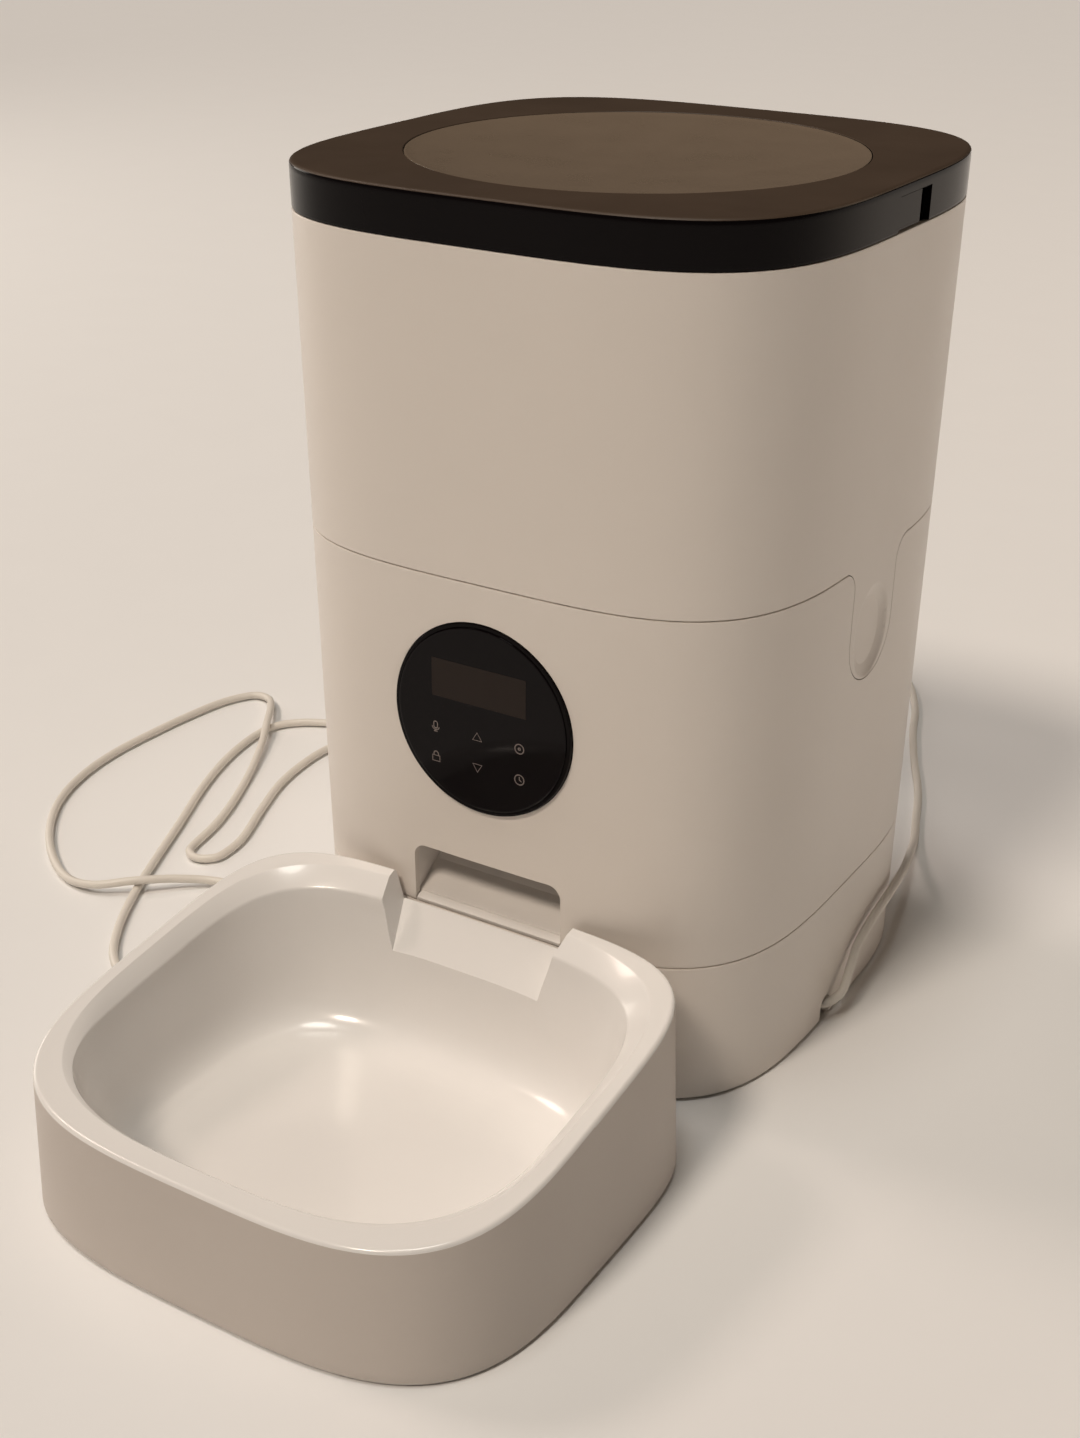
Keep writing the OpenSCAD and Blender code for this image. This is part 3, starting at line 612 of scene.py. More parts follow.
@dataclass(frozen=True)
class Look:
    """The finish and the slot name of a piece."""

    finish: Finish
    slot: str

    def on(self, obj: Piece, body: str, *nodes: str) -> Piece:
        """Dresses obj, sets it on a body and lets it stand for CAD nodes.

        Args:
            obj: the piece.
            body: the CAD body that it rides on.
            nodes: the CAD nodes that it stands for.

        Returns:
            The piece.
        """
        self.finish.dress(obj)
        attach(obj, body)
        if nodes:
            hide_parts(*nodes)
        LOG.info("%s rides on %s", obj.name, body)
        return obj


# ---------- camera and light
@dataclass(frozen=True)
class Studio:
    """Camera, floor and lamps."""

    eye: Triple = (0.3346, -0.6018, 0.4274)
    azimuth: float = 31.71
    elevation: float = 25.617
    roll: float = 0.289
    lens: float = 49.85
    sensor: float = 36.0

    def camera(self) -> None:
        """Sets up the camera that the scene is seen through."""
        az, el = math.radians(self.azimuth), math.radians(self.elevation)
        back = Vector((math.sin(az) * math.cos(el), -math.cos(az) * math.cos(el), math.sin(el)))
        cam = bpy.data.cameras.new("camera")
        cam.lens, cam.sensor_width, cam.clip_start, cam.clip_end = self.lens, self.sensor, 0.02, 60
        obj = bpy.data.objects.new("camera", cam)
        bpy.context.scene.collection.objects.link(obj)
        turn = (-back).to_track_quat("-Z", "Y").to_matrix().to_4x4()
        obj.matrix_world = Matrix.Translation(self.eye) @ turn @ Matrix.Rotation(math.radians(self.roll), 4, "Z")
        bpy.context.scene.camera = obj
        bpy.context.scene.view_settings.view_transform = "Standard"

    def floor(self) -> None:
        """Lays the pale floor."""
        bpy.ops.object.select_all(action="DESELECT")
        bpy.ops.mesh.primitive_plane_add(size=14, location=(0, 0, 0))
        obj = bpy.context.active_object
        obj.name = "floor"
        Finish("studio_floor", (0.84, 0.84, 0.84), 0.7, wander=0.004, rough_wander=0.01, bump=0.01).dress(obj)

    def lamp(self, name: str, place: Triple, size: float, power: float, tint: Colour) -> None:
        """Hangs a soft square lamp that points at the feeder.

        Args:
            name: the lamp's name.
            place: where it hangs.
            size: its width.
            power: its power in watts.
            tint: its colour.
        """
        data = bpy.data.lights.new(name, "AREA")
        data.shape, data.size, data.energy, data.color = "SQUARE", size, power, tint
        obj = bpy.data.objects.new(name, data)
        bpy.context.scene.collection.objects.link(obj)
        obj.location = place
        aim = Vector((0, -0.08, 0.15)) - Vector(place)
        obj.rotation_mode = "QUATERNION"
        obj.rotation_quaternion = aim.to_track_quat("-Z", "Y")

    def sun(self, name: str, toward: Triple, strength: float, soft: float, tint: Colour) -> None:
        """Adds a far lamp, which lights floor and feeder evenly.

        Args:
            name: the lamp's name.
            toward: the direction that it shines from.
            strength: its strength.
            soft: how many degrees across it is.
            tint: its colour.
        """
        data = bpy.data.lights.new(name, "SUN")
        data.energy, data.angle, data.color = strength, math.radians(soft), tint
        obj = bpy.data.objects.new(name, data)
        bpy.context.scene.collection.objects.link(obj)
        obj.location = toward
        obj.rotation_mode = "QUATERNION"
        obj.rotation_quaternion = (-Vector(toward)).to_track_quat("-Z", "Y")

    def lamps(self) -> None:
        """Hangs the lamps and sets the soft room light."""
        self.sun("sun_key", (-0.12, -0.72, 1.0), 1.42, 12, (1.0, 0.87, 0.74))
        self.sun("sun_overhead", (-0.05, -0.1, 1.0), 0.78, 16, (1.0, 0.97, 0.90))
        self.sun("sun_left", (-0.8, -0.05, 0.9), 0.58, 14, (1.0, 0.82, 0.72))
        self.lamp("lamp_left", (-2.2, 0.2, 0.7), 0.9, 8.5, (1.0, 0.92, 0.82))
        self.lamp("lamp_rightback", (1.4, 1.6, 1.0), 0.9, 5.0, (1.0, 0.76, 0.56))
        world = bpy.data.worlds.new("room")
        bpy.context.scene.world = world
        world.use_nodes = True
        sky = world.node_tree.nodes["Background"]
        sky.inputs["Color"].default_value = (1.0, 0.85, 0.72, 1)
        sky.inputs["Strength"].default_value = 0.02


# ---------- power lead
@dataclass
class PowerLead:
    """The free lead from the plug under the tray to the adapter behind the tower."""

    thick: float = 3.6
    low: float = 2.2
    over: float = 6.2
    smooth: int = 5

    def route(self) -> list[Triple]:
        """Lists the places that the lead passes, from its plug to its adapter.

        Returns:
            The places in millimetres.
        """
        f, o = self.low, self.over
        return [
            (76, -10, 6.5), (88, -10, 6.5), (94.5, -9.3, 7), (99.3, -4, 10.5), (98.9, 4, 17.4),
            (98.2, 12, 23.5), (98.2, 24, 28), (97.4, 42, 30), (93, 66, 26), (86.5, 90, 18.5),
            (79, 114, 9.5), (72.5, 135, 3), (66, 153, f), (55.8, 180.6, f), (41.3, 211.4, f),
            (29.6, 238.7, f), (20, 265, f), (6.4, 290, f),
            (-10, 308, f), (-32, 313, f), (-56, 300, f), (-78, 270, f), (-98, 232, f),
            (-120, 195, f), (-145, 158, f), (-175, 122, f), (-205, 99, f), (-228, 87, f),
            (-238, 72, f), (-236, 45, f), (-226, 12, f), (-210, -25, f), (-199, -51, f),
            (-187, -78, f), (-173, -104, f), (-158, -123, f), (-140, -132, f), (-122, -128, f),
            (-111, -113, f), (-109, -93, f), (-116, -74, f), (-130, -59, f), (-147, -53, f),
            (-163, -56, 3), (-176, -66, 5), (-188, -78, o), (-203, -87, 4), (-219, -86, f),
            (-238, -75, f), (-256, -58, f), (-270, -38, f), (-279, -15, f), (-283, 12, f),
            (-282, 44, f), (-279, 72, f), (-275, 88, f), (-268, 99, f), (-258, 98, 3),
            (-248, 87, 5), (-238, 72, o), (-226, 52, 4), (-214, 28, f), (-203, 3, f),
            (-196, -17, f), (-192, -36, f), (-189.5, -41.5, f), (-184, -44, f), (-178.5, -41.5, f),
            (-176, -36, f), (-178, -20, f), (-187, 3, f), (-196, 28, f), (-200, 50, f),
            (-200, 70, f), (-193, 85, f), (-178, 93, f), (-158, 98, f), (-136, 108, f),
            (-116, 126, f), (-104, 150, f), (-100, 174, 3), (-97, 190, 5), (-91, 202, 7.5),
            (-84, 206, 8), (-78, 206, 8),
        ]

    def line(self) -> Loop:
        """Draws a smooth line through the route.

        Returns:
            The line's points in metres.
        """
        p = [Vector(q) for q in self.route()]
        last = len(p) - 1
        line = []
        for i in range(last):
            a, b, c, d = p[max(0, i - 1)], p[i], p[i + 1], p[min(last, i + 2)]
            for k in range(self.smooth):
                t = k / self.smooth
                line.append(
                    (2 * b + (c - a) * t + (2 * a - 5 * b + 4 * c - d) * t**2
                     + (3 * b - a - 3 * c + d) * t**3) / 2 * MM
                )
        return [*line, p[last] * MM]

    def build(self) -> None:
        """Lays the lead, which runs from its plug to its adapter."""
        line = self.line()
        lead = Bench.stroke("power_lead", line, self.thick)
        Look(CORD_WHITE, "lead_white").on(lead, "base", "power_cord")


# ---------- tower shells
@dataclass
class Tongue:
    """The tab at each side of the hopper that drops into the base, with its thumb dimple."""

    half_w: float = 17.5
    low: float = 139.5
    flare: float = 9.0
    gap: float = 0.4
    dimple_z: float = 157.0
    dimple_h: float = 17.0
    dimple_w: float = 13.6
    dimple_d: float = 3.0

    def edge(self, grow: float, top: float) -> list[Point]:
        """The tab's edge in Y and Z, from its right flare down and up to its left flare.

        Args:
            grow: how far the edge is moved out.
            top: the height of the joint line that it flares into.

        Returns:
            The edge's corners in millimetres.
        """
        w, r = self.half_w + grow, self.flare - grow
        centre = self.half_w + self.flare
        knee = top + grow - self.flare
        low = self.low - grow + w
        steps = [math.radians(5 * k) for k in range(19)]
        right = [(centre - r * math.sin(a), knee + r * math.cos(a)) for a in steps]
        bottom = [(w * math.cos(2 * a), low - w * math.sin(2 * a)) for a in steps]
        return right + bottom + [(-y, z) for y, z in reversed(right)]


@dataclass
class Shells:
    """Tray, base and hopper shells, with the outlet, the panel hole and the side tongues."""

    tongue: Tongue = field(default_factory=Tongue)
    outlet_w: float = 30.5
    outlet_top: float = 80.0
    outlet_low: float = 54.0
    outlet_r: float = 5.0
    panel_z: float = 136.5
    panel_hole: float = 35.4
    floor_z: float = 3.3
    bay: tuple[float, float, float, float] = (54.0, 12.0, 84.0, 40.0)
    joint: float = 0.3
    duct: tuple[float, float, float, float] = (40.0, -20.0, 4.0, 11.6)
    feet: tuple[Point, ...] = ((0, 0), (-72, -70), (72, -70), (-72, 70), (72, 70))

    def outlet_tool(self) -> Piece:
        """Makes the solid that cuts the food outlet.

        Returns:
            The tool.
        """
        w, r, top = self.outlet_w, self.outlet_r, self.outlet_top
        arc = [math.radians(9 * k) for k in range(11)]
        right = [(w - r + r * math.cos(a), top - r + r * math.sin(a)) for a in arc]
        plan = [(w, self.outlet_low), *right, *[(-x, z) for x, z in reversed(right)], (-w, self.outlet_low)]
        return self.front_tool("outlet_tool", plan)

    def front_tool(self, name: str, outline: Sequence[Point]) -> Piece:
        """A solid through the front wall with an outline in X and Z."""
        loops = [[Vector((x, y, z)) * MM for x, z in outline] for y in FRONT_WALL]
        return Bench.skin(name, loops, Ends.CAPPED)

    def base(self) -> Piece:
        """Makes the lower shell between the tray and the hopper.

        Returns:
            The shell.
        """
        t = TOWER
        obj = t.shell("base_shell_skin", t.tray_top + t.seam / 2, t.hopper_low - self.joint, rows=26)
        Bench.combine(obj, self.outlet_tool())
        hole = [(x, self.panel_z + z) for x, z in ring_points(self.panel_hole, 144)]
        Bench.combine(obj, self.front_tool("panel_tool", hole))
        top = t.hopper_low + t.seam / 2
        slot = self.tongue.edge(self.tongue.gap, top - self.tongue.gap)
        slot = [(slot[0][0], top + 5), *slot, (slot[-1][0], top + 5)]
        return Bench.combine(obj, Bench.prism("slot_tool", slot, -115, 115))

    def hopper(self) -> Piece:
        """Makes the upper shell, whose tongues hang down over the base.

        Returns:
            The shell.
        """
        t = TOWER
        low = t.hopper_low + t.seam / 2
        obj = t.shell("hopper_shell_skin", self.tongue.low - 4, t.lid_low - 0.3, rows=64)
        self.press_dimples(obj)
        edge = self.tongue.edge(0.0, low)
        below = [(120, low), *edge, (-120, low), (-120, 120), (120, 120)]
        Bench.combine(obj, Bench.prism("skirt_tool", below, -125, 125))
        for name, z0, z1, inset, thick in (
            ("step", low + 0.4, low + 7, t.wall - 0.3, 3.0),
            ("skirt", t.hopper_low - 9, low + 5, t.wall + 0.8, 2.0),
            ("backing", self.tongue.low - 2, low + 4, t.wall - 0.8, 5.0),
        ):
            ring = t.ring(f"hopper_{name}", z0, z1, inset, thick)
            if name == "backing":
                inner = self.tongue.edge(-1.5, low + 10)
                tool = Bench.prism("backing_tool", inner, -115, 115)
                Bench.combine(ring, tool, Cut.SHARED)
            Bench.join(obj, ring)
        return obj

    def press_dimples(self, obj: Piece) -> None:
        """Presses the thumb dimple into both sides of the hopper.

        Args:
            obj: the hopper's shell.
        """
        g = self.tongue
        Bench.only(obj)
        Bench.edit("FACE")
        Bench.leave()
        for face in obj.data.polygons:
            c = face.center / MM
            face.select = (
                abs(c.x) > 60 and abs(c.y) < g.dimple_w + 5 and abs(c.z - g.dimple_z) < g.dimple_h + 3
            )
        bpy.ops.object.mode_set(mode="EDIT")
        bpy.ops.mesh.subdivide(number_cuts=3)
        Bench.leave()
        for v in obj.data.vertices:
            x, y, z = v.co / MM
            q = math.hypot(y / g.dimple_w, (z - g.dimple_z) / g.dimple_h)
            if abs(x) > 60 and q < 1:
                v.co.x -= math.copysign(g.dimple_d * MM, x) * (1 - q * q) ** 0.7

    def tray(self) -> Piece:
        """Makes the bottom tray with its battery bay, lead duct, screw holes and docking pegs.

        Returns:
            The tray.
        """
        t = TOWER
        top = t.tray_top - t.seam / 2
        rows = [(0.8, 60.0), (0.8, 1.4), (0.85, 0.8), (1.2, 0.2), (1.8, 0.0), (2.3, 0.0)]
        rows += [(1.8 + (top - 2.2) * k / 10, 0.0) for k in range(1, 10)]
        rows += [(top - 0.85, 0.0), (top - 0.35, 0.0), (top - 0.1, 0.1), (top, 0.35), (top, t.wall)]
        rows += [(self.floor_z, t.wall), (self.floor_z, 60.0)]
        obj = Bench.skin("base_tray_skin", [t.loop(z, d) for z, d in rows], Ends.CAPPED)
        (cx, cy0, cy1, cz), (dx, dy0, dy1, dz) = self.bay, self.duct
        adds = [
            Bench.box("bay", (-cx - 2, cy0 - 2, 1.8), (cx + 2, cy1 + 2, cz + 2)),
            Bench.box("duct", (dx - 12, dy0 - 2, 1.8), (94, dy1 + 2, dz + 2)),
            *(Bench.rod("peg", Axis.Y, (x, -101, 20), 13, 3) for x in (-50, 50)),
        ]
        for add in adds:
            Bench.combine(obj, add, Cut.ADD)
        holes = [
            Bench.box("cells", (-cx, cy0, -1), (cx, cy1, cz)),
            Bench.box("door", (-cx, cy0, -1), (cx, 110, self.floor_z)),
            Bench.box("lead", (dx, dy0, -1), (94.9 - t.wall, dy1, dz)),
            Bench.box("jack", (dx - 10, -16, 1.8), (dx + 1, -4, dz)),
            Bench.rod("gland", Axis.X, (80, -9, 6.5), 30, 4),
            Bench.box("slot", (80, -13, -1), (110, -5, 6.5)),
            *(Bench.rod("foot", Axis.Z, (x, y, -1), 3.3, 7) for x, y in self.feet),
            *(Bench.rod("screw", Axis.Z, (x, y, -1), 3.0, 3.4) for x in (-76, 76) for y in (-46, 46)),
        ]
        for hole in holes:
            Bench.combine(obj, hole)
        lip = t.ring("tray_lip", top - 6, t.tray_top + 4, t.wall + 0.4, 1.6)
        w = self.outlet_w + 5
        Bench.combine(lip, Bench.box("gap", (-w, -110, t.tray_top - 0.2), (w, -80, 64)))
        return Bench.join(obj, lip)

    def build(self) -> None:
        """Builds and dresses the three shells."""
        shell = Look(WHITE, "white_shell")
        shell.on(self.tray(), "base", "base_tray")
        shell.on(self.base(), "base", "base_shell")
        shell.on(self.hopper(), "hopper", "hopper_shell")


# ---------- lid
@dataclass
class Lid:
    """The black lid, whose round opening holds the smoked dish."""

    dish_r: float = 78.6
    depth: float = 5.0
    top_inset: float = 1.25
    gap: Point = (-10.0, 15.5)

    def shell(self) -> Piece:
        """Makes the lid's shell, with a rounded top edge and a gap at each side for a button.

        Returns:
            The shell.
        """
        t, top = TOWER, TOWER.height
        side = [(t.lid_low, 0.35), (t.lid_low + 0.12, 0.1), (t.lid_low + 0.4, 0.0), (t.lid_low + 0.9, 0.0)]
        side += [(299.0, 0.0), (302.0, 0.0), (305.0, 0.0), (307.6, 0.0), (308.2, 0.0)]
        side += [(309.9, 0.05), (310.3, 0.17), (310.63, 0.42), (310.87, 0.78), (top, self.top_inset)]
        side += [(top, self.top_inset + 0.6)]
        hole = [(self.dish_r + 0.9, top), (self.dish_r + 0.3, top), (self.dish_r + 0.1, top - 0.2)]
        hole += [(self.dish_r + 0.1, 308.4), (self.dish_r - 3, 308.4), (self.dish_r - 3, 305.0)]
        hole += [(self.dish_r + 4, 305.0), (self.dish_r + 4, 308.3)]
        loops = [t.loop(z, d) for z, d in side] + [circle(r, z) for r, z in hole]
        loops += [t.loop(308.3, t.wall), t.loop(t.lid_low, t.wall)]
        obj = Bench.skin("lid_skin", loops, Ends.LOOPED)
        for x0, x1 in ((94, 104), (-104, -94)):
            Bench.combine(obj, Bench.box("gap", (x0, self.gap[0], 294), (x1, self.gap[1], 307)))
        return obj

    def dress(self, obj: Piece) -> None:
        """Polishes the lid's side and leaves its top matt, with painted sheen: the upward faces get a lighter brown
        that stands for light reflected from above.

        Args:
            obj: the lid's shell.
        """
        Look(BLACK, "black_gloss").on(obj, "lid", "lid_shell")
        # The upward faces get the lighter brown material: painted sheen on the lid's own black.
        obj.data.materials.append(LID_TOP_PAINTED_SHEEN.material())
        for face in obj.data.polygons:
            if face.normal.z > 0.55 and face.center.z > 309.4 * MM:
                face.material_index = 1

    def dish(self) -> Piece:
        """Makes the shallow round dish in the lid's top.

        Returns:
            The dish.
        """
        low, r, top = TOWER.height - self.depth, self.dish_r - 0.15, TOWER.height
        rows = [(12.0, low - 2.6), (45.0, low - 1.7), (r - 3.2, top - 3.0), (r - 3.2, top - 2.5), (r, top - 2.5)]
        rows += [(r, top - 0.5), (r - 0.15, top - 0.2), (r - 0.5, top - 0.15), (r - 1.1, top - 0.3)]
        span = r - 1.6
        bowl = [span * k / 24 for k in range(24, 1, -1)]
        rows += [(q, low + (self.depth - 0.45) * (q / span) ** 2) for q in bowl]
        rows += [(3.0, low + 0.01)]
        return Bench.skin("lid_dish_skin", [circle(q, z) for q, z in rows], Ends.CAPPED)

    def build(self) -> None:
        """Builds and dresses the lid and its dish."""
        self.dress(self.shell())
        Look(DISH, "dish_smoke").on(self.dish(), "lid", "lid_dish")


# ---------- bowl
@dataclass
class Bowl:
    """The sloping bowl: a hollow skirt, a chamfered rim, a dished inside and the outlet's ramp."""

    centre_y: float = -177.2
    half_x: float = 94.5
    half_y: float = 81.4
    foot: float = 0.8
    draw: float = 0.0265 / 72
    rim_mid: float = 58.0
    slope: float = 0.12285
    ramp_top: Point = (-80.0, 75.9)
    ramp_low: Point = (-126.0, 25.7)
    notch_half: float = 31.0
    notch_spread: float = 0.27
    notch_foot: float = 44.0
    matt_painted_shade_below: float = 1.4

    def rim(self, y: float) -> float:
        """Height of the rim's plane at Y."""
        return self.rim_mid + self.slope * (y - self.centre_y)

    def wall_row(self, inset: float, share: float, drop: float, low: float = 2.0) -> Loop:
        """A row of the outer wall.

        Args:
            inset: how far it is drawn in.
            share: how far up it is, from 0 at low to 1 at the rim less drop.
            drop: how far under the rim a share of 1 is.
            low: the height of share 0.

        Returns:
            The row.
        """
        row = []
        for x, y in Plan(self.half_x - inset, self.half_y - inset, 0.0, 3.5, 5.0).points():
            z = low + (self.rim(self.centre_y + y) - drop - low) * share
            shrink = 1 - self.draw * (z - self.foot)
            row.append(Vector((x * shrink, self.centre_y + y * shrink, z)) * MM)
        return row

    def rim_row(self, plan: Plan, side: float, front: float) -> Loop:
        """A row near the rim, a drop under the rim's plane that shrinks from side to front.

        Args:
            plan: its outline.
            side: the drop at the sides and the back.
            front: the drop at the front.

        Returns:
            The row.
        """
        row = []
        for x, y in plan.points():
            t = min(1.0, max(0.0, (plan.centre_y - y) / plan.half_y * 1.25 - 0.2))
            drop = side + (front - side) * t * t * (3 - 2 * t)
            row.append(Vector((x, y, self.rim(y) - drop)) * MM)
        return row

    def body(self) -> Piece:
        """Makes the bowl before its notch, from the underside out, up, over and down inside.

        Returns:
            The bowl.
        """
        under = [(91.2, 78.1, 6.4), (91.3, 78.2, 1.3), (91.8, 78.7, 0.8), (93.4, 80.3, 0.8), (94.1, 81.0, 1.1)]
        loops = [Plan(x, y, self.centre_y, 3.5, 5.0).loop(z) for x, y, z in under]
        loops += [self.wall_row(0, k / 14, 1.6) for k in range(15)]
        fillet = [(0.0, 1.2), (0.09, 0.78), (0.32, 0.36), (0.65, 0.11), (1.1, 0.0), (1.6, 0.0)]
        loops += [self.wall_row(inset, 1, drop) for inset, drop in fillet]
        flat, cham = (87.5, 74.1, -175.6, 3.2, 4.0), (82.0, 70.25, -178.75, 3.2, 4.0)
        for share, lift in ((-0.09, 0), (0.0, 0.04), (0.08, 0.12), (0.92, 0.12), (1.0, 0.0), (1.03, -0.5)):
            mix = [a + (b - a) * share for a, b in zip(flat, cham)]
            drop = max(0.0, share)
            loops.append(self.rim_row(Plan(*mix), 5.0 * drop - lift, 0.6 * drop - lift * 0.3))
        wall = [(81.7, 70.0, 9.0), (81.0, 69.4, 13.0), (80.0, 68.6, 18.0)]
        loops += [self.rim_row(Plan(x, y, -178.5, 3.1, 3.7), d, d - 3.5) for x, y, d in wall]
        deep = [(78.4, 67.6, 31.0), (77.6, 66.9, 26.0), (76.8, 66.2, 22.0), (75.6, 65.0, 18.0), (73.8, 63.2, 14.6)]
        deep += [(71.2, 60.6, 11.9), (67.8, 57.2, 10.1), (63.6, 53.0, 9.2), (58.5, 48.0, 9.0), (50.0, 40.0, 9.0)]
        loops += [Plan(x, y, -178.2, 3.0, 3.4).loop(z) for x, y, z in deep]
        return Bench.skin("food_bowl_skin", loops, Ends.CAPPED, 38)

    def notch_tool(self) -> Piece:
        """Makes the solid that cuts the notch down to the ramp.

        Returns:
            The tool.
        """
        loops, top = [], 90
        for y, z in (self.ramp_top, self.ramp_low):
            low, high = (self.notch_half + self.notch_spread * (h - self.notch_foot) for h in (z, top))
            loops.append([Vector((x, y, h)) * MM for x, h in ((high, top), (-high, top), (-low, z), (low, z))])
        return Bench.skin("notch_tool", loops, Ends.CAPPED)

    @staticmethod
    def on_notch(a: Vector, b: Vector) -> bool:
        """Whether an edge between two points lies on a side of the notch."""
        return all(30.8 < abs(p.x) < 41 and p.z > 34 and p.y > -126 for p in (a, b))

    def build(self) -> None:
        """Builds and dresses the bowl."""
        obj = self.body()
        Bench.combine(obj, self.notch_tool())
        for x in (-50, 50):
            Bench.combine(obj, Bench.rod("peg_hole", Axis.Y, (x, -104, 20), 14, 3.4))
        Bench.bevel(obj, 1.3, self.on_notch, 4)
        Look(BOWL_WHITE, "bowl_white").on(obj, "bowl", "food_bowl")
        # Outward-facing sides below the rim get the darker matt material: painted shade on the bowl's own white
        # plastic.
        obj.data.materials.append(BOWL_SIDE_MATT_PAINTED_SHADE.material())
        for face in obj.data.polygons:
            x, y, z = face.center / MM
            out = face.normal.x * x / self.half_x + face.normal.y * (y - self.centre_y) / self.half_y
            if out > 0.35 and z < self.rim(y) - self.matt_painted_shade_below:
                face.material_index = 1


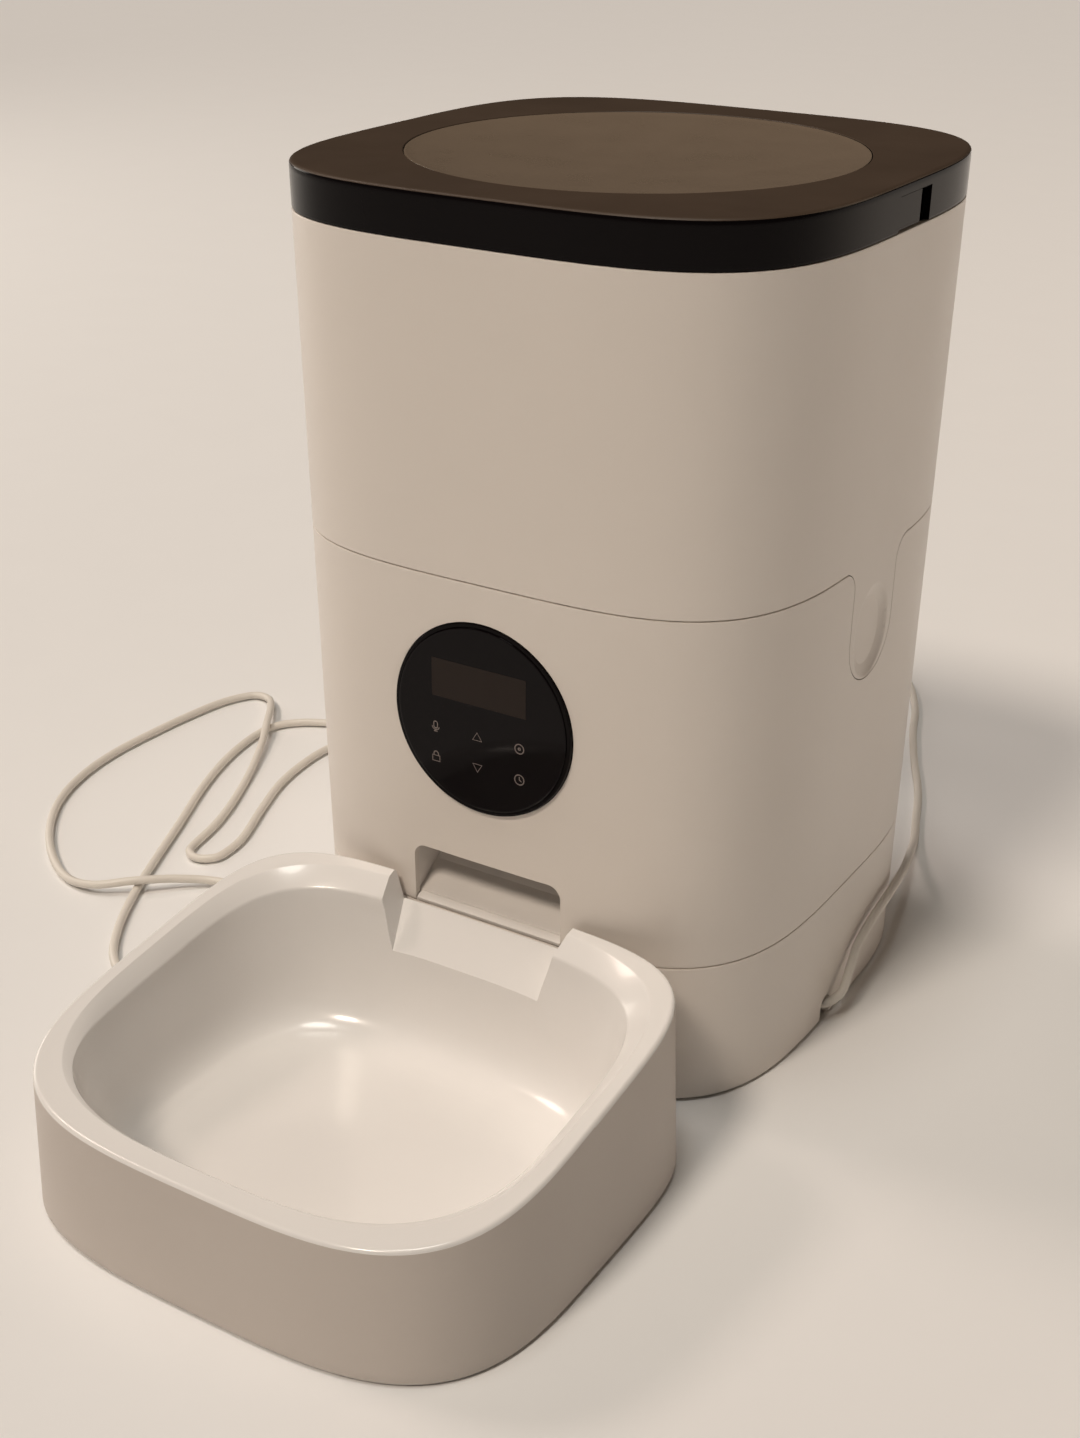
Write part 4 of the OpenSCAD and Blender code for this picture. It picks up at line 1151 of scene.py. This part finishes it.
# ---------- control panel
@dataclass
class Panel:
    """The round control panel: bezel, lens, the display's window and six printed marks."""

    z: float = 136.5
    front: float = -98.4
    bezel_r: float = 35.1
    lens_r: float = 33.6
    columns: Triple = (-18.4, -1.4, 15.5)
    rows: Point = (130.4, 118.8)
    size: float = 1.85
    line: float = 0.42

    def turned(self, name: str, rows: Sequence[Point], ends: Ends = Ends.CAPPED) -> Piece:
        """Makes a round piece about the panel's axis.

        Args:
            name: the piece's name.
            rows: the radius and Y of each row.
            ends: whether its ends are filled or joined.

        Returns:
            The piece.
        """
        loops = [[Vector((x, y, self.z + z)) * MM for x, z in ring_points(r, 128)] for r, y in rows]
        return Bench.skin(name, loops, ends)

    def bezel(self) -> Piece:
        """Makes the bezel's ring, with a flange behind the wall.

        Returns:
            The bezel.
        """
        b, f = self.bezel_r, self.front
        rows = [(32.6, -90.6), (b + 3, -90.6), (b + 3, -93.2), (b, -93.2), (b, f + 0.75), (b - 0.1, f + 0.5)]
        rows += [(b - 0.35, f + 0.4), (b - 1.3, f + 0.4), (b - 1.5, f + 0.6), (b - 1.5, f + 2.4), (32.6, f + 2.4)]
        return self.turned("panel_bezel_ring", rows, Ends.LOOPED)

    def lens(self) -> Piece:
        """Makes the glossy lens with a softened edge.

        Returns:
            The lens.
        """
        r, f = self.lens_r, self.front
        rows = [(r, f + 2.3), (r, f + 0.35), (r - 0.1, f + 0.12), (r - 0.35, f), (r - 0.9, f), (8, f)]
        return self.turned("panel_lens_disc", rows)

    def window(self) -> Piece:
        """The display's dark window, flush with the lens."""
        y = self.front
        return Bench.box("lcd_window", (-19.6, y - 0.04, 141.9), (18.0, y + 0.2, 156.0))

    @staticmethod
    def arc(radius: float, start: float, end: float, height: float = 0.0) -> list[Point]:
        """Twenty-one points on an arc from one angle in degrees to another, centred at a height."""
        turns = [math.radians(start + (end - start) * k / 20) for k in range(21)]
        return [(radius * math.cos(a), height + radius * math.sin(a)) for a in turns]

    def marks(self) -> Piece:
        """Prints the six marks: microphone, up, ring, lock, down and clock.

        Returns:
            The marks as one piece.
        """
        arc = self.arc
        shapes: list[list[tuple[list[Point], bool]]] = [
            [([*arc(0.42, 0, 180, 0.5), *arc(0.42, 180, 360, -0.05)], True), (arc(0.8, 190, 350), False),
             ([(0, -0.8), (0, -1.1)], False), ([(-0.4, -1.1), (0.4, -1.1)], False)],
            [([(-1, -0.7), (1, -0.7), (0, 0.9)], True)],
            [(arc(0.95, 0, 360)[:-1], True), (arc(0.22, 0, 360)[:-1], True)],
            [([(-0.8, -1), (0.8, -1), (0.8, 0.15), (-0.8, 0.15)], True),
             ([(-0.5, 0.15), *reversed(arc(0.5, 0, 180, 0.5)), (0.5, 0.15)], False)],
            [([(-1, 0.7), (1, 0.7), (0, -0.9)], True)],
            [(arc(1, 0, 360)[:-1], True), ([(0, 0.62), (0, 0), (0.45, -0.3)], False)],
        ]
        strokes = []
        for i, shape in enumerate(shapes):
            x0, z0 = self.columns[i % 3], self.rows[i // 3]
            for points, closed in shape:
                line = [Vector((x0 + self.size * x, self.front - 0.01, z0 + self.size * z)) * MM for x, z in points]
                strokes.append(Bench.stroke("mark", line, self.line, closed))
        Bench.only(strokes[0])
        for stroke in strokes:
            stroke.select_set(True)
        bpy.ops.object.convert(target="MESH")
        bpy.ops.object.join()
        obj = bpy.context.active_object
        obj.name = obj.data.name = "panel_marks"
        for v in obj.data.vertices:
            v.co.y = self.front * MM + (v.co.y - self.front * MM) * 0.25
        return Bench.tidy(obj)

    def build(self) -> None:
        """Builds and dresses the panel."""
        Look(BLACK, "black_gloss").on(self.bezel(), "base", "panel_bezel")
        Look(PANEL, "panel_black").on(self.lens(), "base", "panel_lens")
        Look(LCD, "panel_black").on(self.window(), "base")
        Look(PRINT, "panel_black").on(self.marks(), "base")


# ---------- inner pieces
@dataclass
class Works:
    """The pieces whose CAD shape is shown as it is, with a finish for each."""

    finishes: dict[Finish, tuple[str, ...]] = field(default_factory=lambda: {
        FRAME_WHITE: ("inner_frame", "gear_housing", "gear_cover"),
        FOOD_WHITE: ("food_chute", "hopper_funnel", "metering_cup", "portion_shield", "desiccant_cage"),
        WHITE: ("battery_door", "adapter_body"),
        CORD_WHITE: ("dc_plug", "adapter_relief"),
        BLACK: ("lid_button_right", "lid_button_left"),
        ZINC: ("frame_screws", "gear_screws"),
        STEEL: ("idler_pin", "feed_motor", "motor_shaft", "microphone"),
        NICKEL: ("drive_magnet", "battery_contacts", "adapter_blades"),
        BRONZE: ("drive_bush",),
        NYLON: ("motor_pinion", "idler_gear", "output_gear"),
        ROTOR: ("rotor_hub", "stirrer"),
        SILICONE: ("rotor_wheel", "stirrer_cap"),
        RUBBER: ("rubber_feet", "bowl_feet"),
        SENSOR: ("chute_sensors",),
        BOARD: ("position_sensor", "touch_board", "main_board"),
        CHIP: ("board_parts", "speaker", "dc_jack"),
        LCD: ("lcd_module",),
        LINER: ("lid_liner",),
        SEAL: ("lid_seal",),
        PAPER: ("desiccant_pack",),
    })
    creases: dict[str, float] = field(default_factory=lambda: {"food_chute": 12.0})

    def build(self) -> None:
        """Dresses each node and smooths its shading."""
        for finish, names in self.finishes.items():
            for name in names:
                obj = finish.dress(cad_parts[name])
                Bench.only(obj)
                bpy.ops.object.shade_smooth_by_angle(angle=math.radians(self.creases.get(name, CREASE)))
                LOG.info("%s is %s", name, finish.name)


# ---------- assembly
def main() -> None:
    """Builds the scene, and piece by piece."""
    logging.basicConfig(level=logging.INFO, format="%(name)s: %(message)s")
    studio = Studio()
    studio.camera()
    PowerLead().build()
    for part in (Shells(), Lid(), Bowl(), Panel(), Works()):
        part.build()
    studio.floor()
    studio.lamps()


if __name__ == "__main__":
    main()
